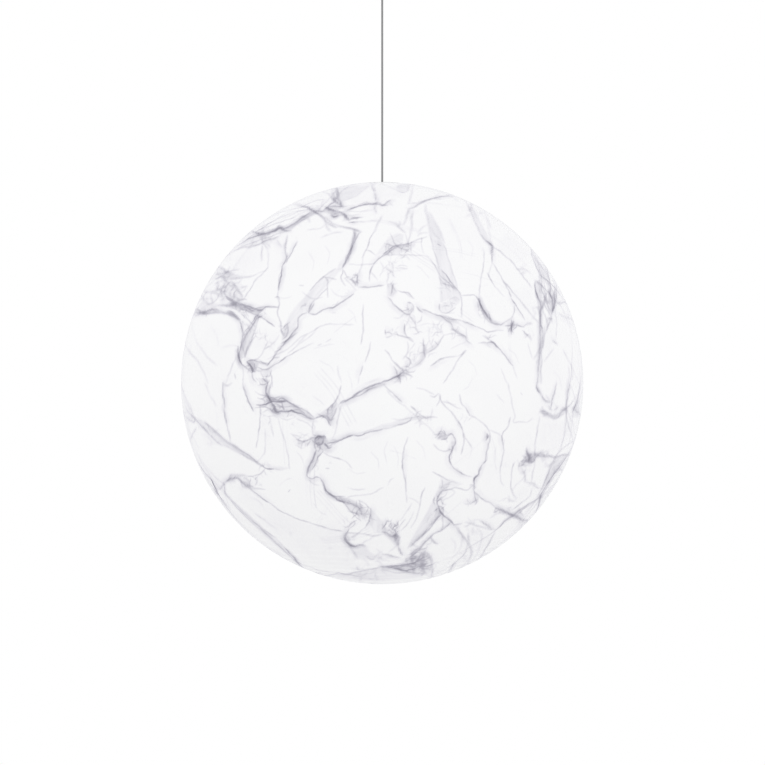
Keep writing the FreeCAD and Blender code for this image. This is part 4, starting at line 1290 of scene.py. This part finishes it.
def draw_strands(clear, points, finder, strands, step):
    """Multiplies how clear each point is by what each strand leaves of it."""
    for number, (line, dark, width) in enumerate(strands):
        found = finder.near(line)
        if len(found) == 0:
            continue
        start = line[:-1]
        run = line[1:] - start
        square = np.maximum((run ** 2).sum(axis=1), 1e-9)
        index = np.arange(len(line))
        for part in np.array_split(found, max(1, len(found) * len(run) // MOST_PAIRS)):
            away = points[part][:, None] - start[None]
            share = np.clip((away * run[None]).sum(axis=2) / square[None], 0, 1)
            gap = ((away - share[:, :, None] * run[None]) ** 2).sum(axis=2)
            best = gap.argmin(axis=1)
            rows = np.arange(len(part))
            place = best + share[rows, best]
            wanted = REACH * np.interp(place, index, width)
            reach = np.maximum(wanted, LEAST_REACH * step)
            inside = np.clip(1 - gap[rows, best] / reach ** 2, 0, 1) ** 2
            depth = np.interp(place, index, dark) * np.sqrt(wanted / reach)
            aside = (np.cross(away[rows, best], run[best]) * points[part]).sum(axis=1)
            aside /= GLOBE_MM * np.sqrt(square[best])
            along = place * SAMPLE_MM
            fibres = streaks(along, aside, FILAMENT_MM, number)
            tone = inside * depth * (FIBRE_TONE[0] + FIBRE_TONE[1] * fibres)
            if dark.max() > HALO_FROM:
                side = 1 if number % 2 else -1
                soft = np.clip(1 - gap[rows, best] / HALO_MM ** 2, 0, 1) * np.clip(side * aside, 0, 1)
                cloud = streaks(along, aside, HALO_CLOUD_MM, number + 7)
                halo = HALO_SHARE * depth * soft * (HALO_TONE[0] + HALO_TONE[1] * cloud)
                tone = np.maximum(tone, halo)
            clear[part] *= 1 - np.minimum(0.97, tone)


def outline_depth(spots, corners):
    """Whether flat spots lie inside an outline, and how far they are from it."""
    inside = np.zeros(len(spots), bool)
    gap = np.full(len(spots), 1e9)
    for start, end in zip(corners, np.roll(corners, -1, axis=0)):
        over = (start[1] > spots[:, 1]) != (end[1] > spots[:, 1])
        rise = end[1] - start[1] if end[1] != start[1] else 1e-9
        cross = start[0] + (spots[:, 1] - start[1]) * (end[0] - start[0]) / rise
        inside ^= over & (spots[:, 0] < cross)
        run = end - start
        share = np.clip((spots - start) @ run / (run @ run), 0, 1)
        gap = np.minimum(gap, np.hypot(*(spots - start - share[:, None] * run).T))
    return inside, gap


def draw_patches(clear, points):
    """The places where the veil lies double, with fine streaks along each patch."""
    seen = np.flatnonzero(points[:, 1] < -GLOBE_MM ** 2 / EYE_MM)
    scale = EYE_MM / (EYE_MM + points[seen, 1])
    flat = np.column_stack((points[seen, 0] * scale, points[seen, 2] * scale))
    number = 0
    for kind, dark in PATCH_CLASSES.items():
        trace = kind == "trace"
        for text in lines_of(PATCHES[kind]):
            number += 1
            corners = pairs(text)
            low = corners.min(axis=0) - PATCH_MARGIN_MM
            high = corners.max(axis=0) + PATCH_MARGIN_MM
            part = np.flatnonzero(((flat > low) & (flat < high)).all(axis=1))
            spots = flat[part]
            inside, gap = outline_depth(spots, corners)
            runs = np.roll(corners, -1, axis=0) - corners
            longest = runs[np.hypot(*runs.T).argmax()]
            longest = longest / math.hypot(*longest)
            along = spots @ longest
            across = spots @ (-longest[1], longest[0])
            fine = streaks(along, across, PATCH_FINE_MM, number)
            broad = streaks(along, across, PATCH_BROAD_MM, number + 50)
            fade = np.clip(gap / (PATCH_EDGE_MM * (TRACE_EDGE if trace else 1)), 0, 1) * inside
            tone = dark * (PATCH_TONE[0] + PATCH_TONE[1] * fine + PATCH_TONE[2] * broad) * fade
            hem = 0 if trace else HEM_SHARE * dark * np.clip(1 - gap / HEM_MM, 0, 1)
            facing = np.clip((-points[seen[part], 1] / GLOBE_MM - FACING[0]) / FACING[1], 0, 1)
            clear[seen[part]] *= 1 - facing * (tone + hem)


def far_side_turn():
    """The rotation that lays the drawn web on the far side, rolled so that it looks another one."""
    about_z = np.array(((-1, 0, 0), (0, -1, 0), (0, 0, 1)), float)
    c, s = math.cos(BACK_ROLL), math.sin(BACK_ROLL)
    roll = np.array(((c, 0, s), (0, 1, 0), (-s, 0, c)))
    return roll @ about_z


def veil_darkness(points, step):
    """How dark the veil is at points of the sphere that lie a step apart, from 0 to 1, in millimetres."""
    clear = np.ones(len(points))
    for seen in (points, points @ far_side_turn().T):
        web = np.ones(len(points))
        draw_strands(web, seen, Finder(seen), WEB, step)
        draw_patches(web, seen)
        clear *= 1 - (1 - web) * np.clip(-seen[:, 1] / SEAM_MM, 0, 1)
    draw_strands(clear, points, Finder(points), AROUND, step)
    return 1 - clear


WEB = drawn_strands() + knot_threads()
AROUND = limb_strands(LIMB_STRANDS) + loose_hairs(LOOSE_HAIRS)

# ---------------------------------------------------------------- the six panels of the veil

PANELS = {
    "veil_front": ((0, -1, 0), (1, 0, 0), (0, 0, 1)),
    "veil_back": ((0, 1, 0), (-1, 0, 0), (0, 0, 1)),
    "veil_left": ((-1, 0, 0), (0, -1, 0), (0, 0, 1)),
    "veil_right": ((1, 0, 0), (0, 1, 0), (0, 0, 1)),
    "veil_top": ((0, 0, 1), (1, 0, 0), (0, 1, 0)),
    "veil_bottom": ((0, 0, -1), (1, 0, 0), (0, -1, 0)),
}


def panel_grid(axes, step):
    """The directions and the four-sided faces of one side of a cube laid on the sphere."""
    out, right, up = (np.array(a, float) for a in axes)
    count = math.ceil(math.pi / 2 * RADIUS / step)
    slope = np.tan(np.linspace(-math.pi / 4, math.pi / 4, count + 1))
    across, rising = np.meshgrid(slope, slope)
    ways = unit(out + across.reshape(-1, 1) * right + rising.reshape(-1, 1) * up)
    row = count + 1
    corner = (np.arange(count)[:, None] * row + np.arange(count)[None]).ravel()
    return ways, np.column_stack((corner, corner + 1, corner + row + 1, corner + row))


def cut_opening(places, faces, radius):
    """Cuts a round hole about the axis and draws the points next to it onto its edge."""
    reach = np.hypot(places[:, 0], places[:, 1])
    gone = reach < radius
    partly = gone[faces].any(axis=1) & ~gone[faces].all(axis=1)
    edge = np.zeros(len(places), bool)
    edge[faces[partly].ravel()] = True
    edge &= gone
    places[edge, :2] *= (radius / np.maximum(reach[edge], 1e-9))[:, None]
    kept = (~gone | edge)[faces].all(axis=1)
    used = np.unique(faces[kept])
    new_number = np.full(len(places), -1)
    new_number[used] = np.arange(len(used))
    return used, new_number[faces[kept]]


def put(name, data):
    """A new object in the scene."""
    made = bpy.data.objects.new(name, data)
    bpy.context.scene.collection.objects.link(made)
    return made


def make_panel(name, axes, step):
    """One panel of the veil, with its folds standing out and their darkness as the attribute "fold"."""
    ways, faces = panel_grid(axes, step)
    dark = veil_darkness(ways * GLOBE_MM, step / MM)
    height = RADIUS + VEIL_LIFT + FOLD_HEIGHT * np.minimum(dark, FOLD_DARKEST)
    places = ways * height[:, None] + tuple(CENTRE)
    lift = VEIL_LIFT + FLAT_FOLD_SHARE * FOLD_HEIGHT * dark
    places[:, 2] = np.minimum(places[:, 2], SEAT_LEVEL + lift)
    places[:, 2] = np.maximum(places[:, 2], FOOT_LEVEL - lift)
    used = np.arange(len(places))
    if name == "veil_top":
        used, faces = cut_opening(places, faces, CAP_RADIUS + VEIL_EDGE)
    mesh = bpy.data.meshes.new(name)
    mesh.vertices.add(len(used))
    mesh.vertices.foreach_set("co", places[used].astype(np.float32).ravel())
    mesh.loops.add(faces.size)
    mesh.loops.foreach_set("vertex_index", faces.astype(np.int32).ravel())
    mesh.polygons.add(len(faces))
    mesh.polygons.foreach_set("loop_start", np.arange(0, faces.size, 4, dtype=np.int32))
    mesh.polygons.foreach_set("use_smooth", np.ones(len(faces), bool))
    mesh.update(calc_edges=True)
    fold = mesh.attributes.new("fold", "FLOAT", "POINT")
    fold.data.foreach_set("value", dark[used].astype(np.float32))
    return put(name, mesh)


# ---------------------------------------------------------------- materials

GLOW = 0.198                        # share of the globe's brightness that comes from its own light
CORD_YARNS = 16
CORD_WEAVE_PITCH = 1.7 * MM
# the grey of the weave's low parts: painted shade between the yarns
CORD_GREY_PAINTED_SHADE = (0.2, 0.2, 0.205)
CORD_GREY_HIGH = (0.46, 0.46, 0.465)


class Look:
    """A node material with one shader."""

    def __init__(self, name, **settings):
        self.material = bpy.data.materials.new(name)
        self.material.use_nodes = True
        self.tree = self.material.node_tree
        self.shader = self.tree.nodes["Principled BSDF"]
        for socket, value in settings.items():
            self.shader.inputs[socket.replace("_", " ")].default_value = value
        self.place = self.node("ShaderNodeTexCoord").outputs["Object"]

    def node(self, kind, **settings):
        """A new node with its settings."""
        made = self.tree.nodes.new(kind)
        for name, value in settings.items():
            setattr(made, name, value)
        return made

    def join(self, output, target):
        self.tree.links.new(output, target)

    def shade(self, output, socket):
        """Joins an output to a socket of the shader."""
        self.join(output, self.shader.inputs[socket])

    def noise(self, scale, detail=3.0, distortion=0.0, stretch=(1, 1, 1)):
        """Noise in the object's own space."""
        mapping = self.node("ShaderNodeMapping")
        mapping.inputs["Scale"].default_value = stretch
        self.join(self.place, mapping.inputs["Vector"])
        made = self.node("ShaderNodeTexNoise")
        made.inputs["Scale"].default_value = scale
        made.inputs["Detail"].default_value = detail
        made.inputs["Distortion"].default_value = distortion
        self.join(mapping.outputs["Vector"], made.inputs["Vector"])
        return made.outputs["Fac"]

    def math(self, operation, first, second=0.0, third=0.0, clamp=False):
        """A sum, product or other function of numbers and outputs."""
        made = self.node("ShaderNodeMath", operation=operation, use_clamp=clamp)
        for k, value in enumerate((first, second, third)):
            if isinstance(value, (int, float)):
                made.inputs[k].default_value = value
            else:
                self.join(value, made.inputs[k])
        return made.outputs[0]

    def between(self, value, low, high, to_low, to_high):
        """A value between two limits, brought between two others."""
        made = self.node("ShaderNodeMapRange", clamp=True)
        names = ("From Min", "From Max", "To Min", "To Max")
        for name, setting in zip(names, (low, high, to_low, to_high)):
            made.inputs[name].default_value = setting
        self.join(value, made.inputs["Value"])
        return made.outputs["Result"]

    def ramp(self, value, stops):
        """A colour for a value, from stops of (position, colour)."""
        made = self.node("ShaderNodeValToRGB")
        elements = made.color_ramp.elements
        while len(elements) < len(stops):
            elements.new(0.5)
        for element, (position, colour) in zip(elements, stops):
            element.position = position
            element.color = (*colour, 1)
        self.join(value, made.inputs["Fac"])
        return made.outputs["Color"]

    def bump(self, height, depth, strength=1.0):
        """Fine relief of a depth in metres."""
        made = self.node("ShaderNodeBump")
        made.inputs["Strength"].default_value = strength
        made.inputs["Distance"].default_value = depth
        self.join(height, made.inputs["Height"])
        self.shade(made.outputs["Normal"], "Normal")

    def axes(self):
        """The x, y and z of a place in the object's own space."""
        split = self.node("ShaderNodeSeparateXYZ")
        self.join(self.place, split.inputs["Vector"])
        return split.outputs[0], split.outputs[1], split.outputs[2]


def linear(*levels):
    """A display colour, 0 to 255, as a linear one."""
    shares = [v / 255 for v in levels]
    return tuple(s / 12.92 if s <= 0.04045 else ((s + 0.055) / 1.055) ** 2.4 for s in shares)


VEIL_TONES = (
    (0.0, linear(248, 248, 248.6)),
    (0.05, linear(242.7, 242, 244.9)),
    (0.12, linear(234.7, 233.9, 238.3)),
    (0.35, linear(208, 206.7, 214.6)),
    (0.6, linear(179, 177, 188.2)),
    (1.0, linear(133, 131, 143.5)),
)


def veil_look():
    """Fibre veil in clear resin, lit from inside: its folds, fine wisps and a satin face."""
    look = Look("veil", Roughness=0.42, Specular_IOR_Level=0.12, Emission_Strength=GLOW,
                Coat_Weight=1.0, Coat_IOR=1.0, Coat_Tint=(0.9935, 0.9935, 0.9945, 1))
    fold = look.node("ShaderNodeAttribute", attribute_name="fold").outputs["Fac"]
    wisps = look.noise(26, detail=5, distortion=1.4, stretch=(1, 1, 1.6))
    line = look.between(look.math("ABSOLUTE", look.math("SUBTRACT", wisps, 0.5)), 0.0, 0.011, 1.0, 0.0)
    where = look.between(look.noise(9, detail=2), 0.45, 0.7, 0.0, 1.0)
    hair = look.math("MULTIPLY", look.math("MULTIPLY", line, where), 0.055)
    cloud = look.between(look.noise(16, detail=4), 0.3, 0.7, -0.008, 0.012)
    grain = look.between(look.noise(900, detail=2), 0.3, 0.7, 0.88, 1.12)
    dark = look.math("ADD", look.math("MULTIPLY", fold, grain), hair)
    dark = look.math("ADD", dark, cloud, clamp=True)
    tone = look.ramp(dark, VEIL_TONES)
    look.shade(tone, "Base Color")
    look.shade(tone, "Emission Color")
    look.shade(look.between(dark, 0.0, 0.5, 0.38, 0.6), "Roughness")
    pores = look.math("MULTIPLY", look.noise(420, detail=3), 0.3)
    look.bump(look.math("ADD", look.math("MULTIPLY", fold, 1.2), pores), 0.0001)
    return look.material


def grainy(name, colour, roughness, metallic=0.0, grain=700, depth=0.00002, spread=0.06, glow=0.0, **more):
    """A surface with a fine grain: its colour, gloss and height vary a little from place to place."""
    look = Look(name, Metallic=metallic, Emission_Strength=glow, **more)
    fine = look.noise(grain, detail=4)
    broad = look.noise(grain / 16, detail=3)
    mix = look.math("ADD", look.math("MULTIPLY", fine, 0.5), look.math("MULTIPLY", broad, 0.5))
    dark = tuple(c * (1 - spread) for c in colour)
    bright = tuple(min(1, c * (1 + spread)) for c in colour)
    tone = look.ramp(mix, ((0.3, dark), (0.7, bright)))
    look.shade(tone, "Base Color")
    if glow:
        look.shade(tone, "Emission Color")
    look.shade(look.between(broad, 0.3, 0.7, roughness * 0.85, min(1, roughness * 1.2)), "Roughness")
    look.bump(fine, depth)
    return look.material


def turned_metal(name, colour, roughness, ring_pitch=0.00035, depth=0.000006):
    """Metal with the fine rings that a lathe leaves about the lamp's axis."""
    look = Look(name, Metallic=1.0)
    x, y, z = look.axes()
    square = look.math("ADD", look.math("MULTIPLY", x, x), look.math("MULTIPLY", y, y))
    reach = look.math("SQRT", square)
    path = look.math("ADD", reach, z)
    rings = look.math("SINE", look.math("MULTIPLY", path, 2 * math.pi / ring_pitch))
    cloud = look.noise(160, detail=4)
    mix = look.math("ADD", look.math("MULTIPLY", rings, 0.06), cloud)
    tone = look.ramp(mix, ((0.3, tuple(c * 0.9 for c in colour)), (0.7, colour)))
    look.shade(tone, "Base Color")
    look.shade(look.between(cloud, 0.3, 0.7, roughness * 0.8, roughness * 1.3), "Roughness")
    look.bump(look.math("ADD", rings, look.math("MULTIPLY", cloud, 0.5)), depth)
    return look.material


def zinc_look():
    """Zinc plate: bright steel with faint spangles and rolling lines."""
    look = Look("zinc_steel", Metallic=1.0)
    cells = look.node("ShaderNodeTexVoronoi")
    cells.inputs["Scale"].default_value = 150
    look.join(look.place, cells.inputs["Vector"])
    split = look.node("ShaderNodeSeparateColor")
    look.join(cells.outputs["Color"], split.inputs["Color"])
    spangle = split.outputs["Red"]
    lines = look.noise(240, detail=2, stretch=(1, 14, 14))
    mix = look.math("ADD", look.math("MULTIPLY", spangle, 0.4), look.math("MULTIPLY", lines, 0.6))
    look.shade(look.ramp(mix, ((0.2, (0.47, 0.48, 0.5)), (0.8, (0.66, 0.67, 0.68)))), "Base Color")
    look.shade(look.between(spangle, 0, 1, 0.28, 0.46), "Roughness")
    look.bump(lines, 0.00001)
    return look.material


def cord_look():
    """A woven textile sheath: sixteen yarns that cross over and under each other; its grey is darker where
    the weave is low, as painted shade between the yarns, with fibre grain.
    """
    look = Look("cord_grey", Specular_IOR_Level=0.3, Sheen_Weight=0.25, Sheen_Roughness=0.4)
    x, y, z = look.axes()
    turn = look.math("MULTIPLY", look.math("ARCTAN2", y, x), CORD_YARNS / 2)
    climb = look.math("MULTIPLY", z, 2 * math.pi / CORD_WEAVE_PITCH)
    one_way = look.math("SINE", look.math("ADD", turn, climb))
    other_way = look.math("SINE", look.math("SUBTRACT", turn, climb))
    weave = look.math("MULTIPLY", one_way, other_way)
    fibre = look.noise(2600, detail=2, stretch=(1, 1, 0.3))
    height = look.math("ADD", look.math("MULTIPLY", weave, 0.5), look.math("MULTIPLY", fibre, 0.35))
    # the grey follows the weave's height: painted shade in its low parts between the yarns, plus fibre
    # grain
    look.shade(look.ramp(look.math("ADD", look.math("MULTIPLY", height, 0.6), 0.35),
                         ((0.1, CORD_GREY_PAINTED_SHADE), (0.8, CORD_GREY_HIGH))), "Base Color")
    look.shade(look.between(weave, -1, 1, 0.9, 0.7), "Roughness")
    look.bump(height, 0.00012)
    return look.material


def clear_look():
    """Clear acrylic with faint flow marks."""
    look = Look("clear_ring", Base_Color=(0.96, 0.97, 0.98, 1), IOR=1.49, Transmission_Weight=0.85)
    flow = look.noise(60, detail=3, distortion=0.6)
    look.shade(look.between(flow, 0.3, 0.7, 0.05, 0.14), "Roughness")
    look.shade(look.ramp(flow, ((0.2, (0.9, 0.92, 0.93)), (0.8, (0.98, 0.99, 1.0)))), "Base Color")
    look.bump(flow, 0.00003)
    return look.material


def make_looks():
    """One material for each slot of the record."""
    looks = {
        "globe": grainy("globe", linear(247, 247, 248), 0.4, grain=500, spread=0.02, glow=GLOW),
        "clear_ring": clear_look(),
        "zinc_steel": zinc_look(),
        "cord_grey": cord_look(),
        "nickel": turned_metal("nickel", (0.74, 0.72, 0.69), 0.22),
        "brass": turned_metal("brass", (0.78, 0.58, 0.3), 0.26),
        "aluminium": turned_metal("aluminium", (0.8, 0.81, 0.82), 0.34),
    }
    plain = {
        "white_metal": ((0.84, 0.84, 0.83), 0.42, {"grain": 1300, "depth": 0.00007, "spread": 0.04}),
        "white_rubber": ((0.78, 0.78, 0.77), 0.72, {"grain": 1100, "depth": 0.00004}),
        "white_plastic": ((0.82, 0.82, 0.81), 0.36, {"grain": 1800, "spread": 0.02}),
        "brown_core": ((0.16, 0.07, 0.035), 0.4, {"grain": 900}),
        "blue_core": ((0.03, 0.12, 0.42), 0.4, {"grain": 900}),
        "ceramic": ((0.87, 0.86, 0.83), 0.28, {"grain": 260, "depth": 0.00004, "Coat_Weight": 0.4}),
        "bulb_white": ((0.85, 0.85, 0.84), 0.34, {"grain": 1500, "spread": 0.02}),
        "black_glass": ((0.012, 0.012, 0.014), 0.12, {"grain": 300, "depth": 0.00001, "spread": 0.3}),
        "frosted": ((0.93, 0.92, 0.9), 0.6, {"grain": 2200, "depth": 0.00003, "spread": 0.02, "glow": 1.0}),
    }
    for name, (colour, roughness, more) in plain.items():
        looks[name] = grainy(name, colour, roughness, **more)
    return looks


# ---------------------------------------------------------------- pieces

def dress_nodes(looks):
    """Gives each CAD node the material of its slot in the record."""
    for piece in frame["record"]["subparts"]:
        node = nodes.get(piece["node"])
        if node is None:
            continue
        node.data.materials.clear()
        node.data.materials.append(looks[piece["material_slot"]])


def make_cord(looks):
    """The cord hangs straight under the lamp's weight, from the load ball to the lampholder."""
    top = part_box("cord_ball")[0].z - CORD_CLEARANCE
    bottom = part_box("suspension_cord")[0].z
    curve = bpy.data.curves.new("cord", "CURVE")
    curve.dimensions = "3D"
    curve.bevel_depth = CORD_DIAMETER / 2
    curve.bevel_resolution = 8
    curve.use_fill_caps = True
    curve.resolution_u = 24
    spline = curve.splines.new("NURBS")
    spline.points.add(CORD_POINTS - 1)
    for k, point in enumerate(spline.points):
        point.co = (0, 0, top + (bottom - top) * k / (CORD_POINTS - 1), 1)
    spline.order_u = 3
    spline.use_endpoint_u = True
    curve.materials.append(looks["cord_grey"])
    cord = put("cord", curve)
    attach(cord, "pendant")
    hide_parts("suspension_cord")


def make_veil():
    """The six panels of the veil, on the globe."""
    look = veil_look()
    for name, axes in PANELS.items():
        step = FRONT_STEP if name == "veil_front" else OTHER_STEP
        panel = make_panel(name, axes, step)
        panel.data.materials.append(look)
        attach(panel, "globe")


looks = make_looks()
dress_nodes(looks)
make_cord(looks)
make_veil()

# ---------------------------------------------------------------- stage, light and camera

AMBIENT = 0.8                       # strength of the light from all round
FLOOR_DROP = 1.3                    # below the globe's lowest point
FLOOR_RADIUS = 5.4
FLOOR_CORNERS = 96
FLOOR_LIFT = 0.26                   # what the floor's picture is brighter than its own reflected light
LIMB_PIXELS = 200.87                # the globe's radius in the photograph's frame
FRAME_PIXELS = 765.0
SENSOR_MM = 36.0
GLOBE_RIGHT = -0.5 * MM             # the globe's centre from the middle of the frame
GLOBE_DOWN = 1.0 * MM
LAMP_SIZE = 2.6
LAMP_ENERGY = 5
LAMPS = {"key": (-2.4, -3.6, 1.2), "fill": (2.8, -3.0, -0.4)}
SEEN_RAYS = ("Is Camera Ray", "Is Glossy Ray", "Is Transmission Ray")


def floor_look():
    """Pale matt floor: what is seen of it is a little brighter than the light that it gives back."""
    look = Look("floor", Roughness=0.9, Specular_IOR_Level=0.0)
    cloud = look.noise(3, detail=3)
    tone = look.ramp(cloud, ((0.3, (0.85, 0.85, 0.85)), (0.7, (0.87, 0.87, 0.87))))
    look.shade(tone, "Base Color")
    look.shade(tone, "Emission Color")
    path = look.node("ShaderNodeLightPath")
    first, second, third = (path.outputs[ray] for ray in SEEN_RAYS)
    seen = look.math("MAXIMUM", look.math("MAXIMUM", first, second), third)
    look.shade(look.math("MULTIPLY", seen, FLOOR_LIFT), "Emission Strength")
    return look.material


def make_floor():
    """A round pale studio floor far below the lamp."""
    level = cad_box[0].z - FLOOR_DROP
    turns = [2 * math.pi * k / FLOOR_CORNERS for k in range(FLOOR_CORNERS)]
    rim = [(FLOOR_RADIUS * math.cos(t), FLOOR_RADIUS * math.sin(t), level) for t in turns]
    mesh = bpy.data.meshes.new("floor")
    mesh.from_pydata(rim, [], [tuple(range(FLOOR_CORNERS))])
    mesh.materials.append(floor_look())
    put("floor", mesh)


def make_world():
    """White behind the lamp, and an even soft light all round it."""
    world = bpy.data.worlds.new("studio")
    bpy.context.scene.world = world
    world.use_nodes = True
    tree = world.node_tree
    tree.nodes.clear()
    path = tree.nodes.new("ShaderNodeLightPath")
    seen = path.outputs[SEEN_RAYS[0]]
    for ray in SEEN_RAYS[1:]:
        either = tree.nodes.new("ShaderNodeMath")
        either.operation = "MAXIMUM"
        tree.links.new(seen, either.inputs[0])
        tree.links.new(path.outputs[ray], either.inputs[1])
        seen = either.outputs[0]
    mix = tree.nodes.new("ShaderNodeMixShader")
    tree.links.new(seen, mix.inputs["Fac"])
    for k, strength in enumerate((AMBIENT, 1.0), 1):
        light = tree.nodes.new("ShaderNodeBackground")
        light.inputs["Color"].default_value = (1, 1, 1, 1)
        light.inputs["Strength"].default_value = strength
        tree.links.new(light.outputs[0], mix.inputs[k])
    output = tree.nodes.new("ShaderNodeOutputWorld")
    tree.links.new(mix.outputs[0], output.inputs["Surface"])


def make_light(name, place):
    """A square soft box that looks at the globe."""
    light = bpy.data.lights.new(name, "AREA")
    light.shape = "SQUARE"
    light.size = LAMP_SIZE
    light.energy = LAMP_ENERGY
    lamp = put(name, light)
    lamp.location = CENTRE + Vector(place)
    lamp.rotation_mode = "QUATERNION"
    lamp.rotation_quaternion = (CENTRE - lamp.location).to_track_quat("-Z", "Y")


def make_camera():
    """A long lens at the height of the globe's centre, looking along +Y."""
    tangent = RADIUS / math.sqrt(CAMERA_DISTANCE ** 2 - RADIUS ** 2)
    camera = bpy.data.cameras.new("camera")
    camera.sensor_width = SENSOR_MM
    camera.lens = LIMB_PIXELS / tangent * SENSOR_MM / FRAME_PIXELS
    camera.clip_start = 0.05
    camera.clip_end = 60
    eye = put("camera", camera)
    eye.location = CENTRE + Vector((-GLOBE_RIGHT, -CAMERA_DISTANCE, GLOBE_DOWN))
    eye.rotation_euler = (math.pi / 2, 0, 0)
    bpy.context.scene.camera = eye


make_floor()
make_world()
for name, place in LAMPS.items():
    make_light(name, place)
make_camera()
bpy.context.scene.view_settings.view_transform = "Standard"
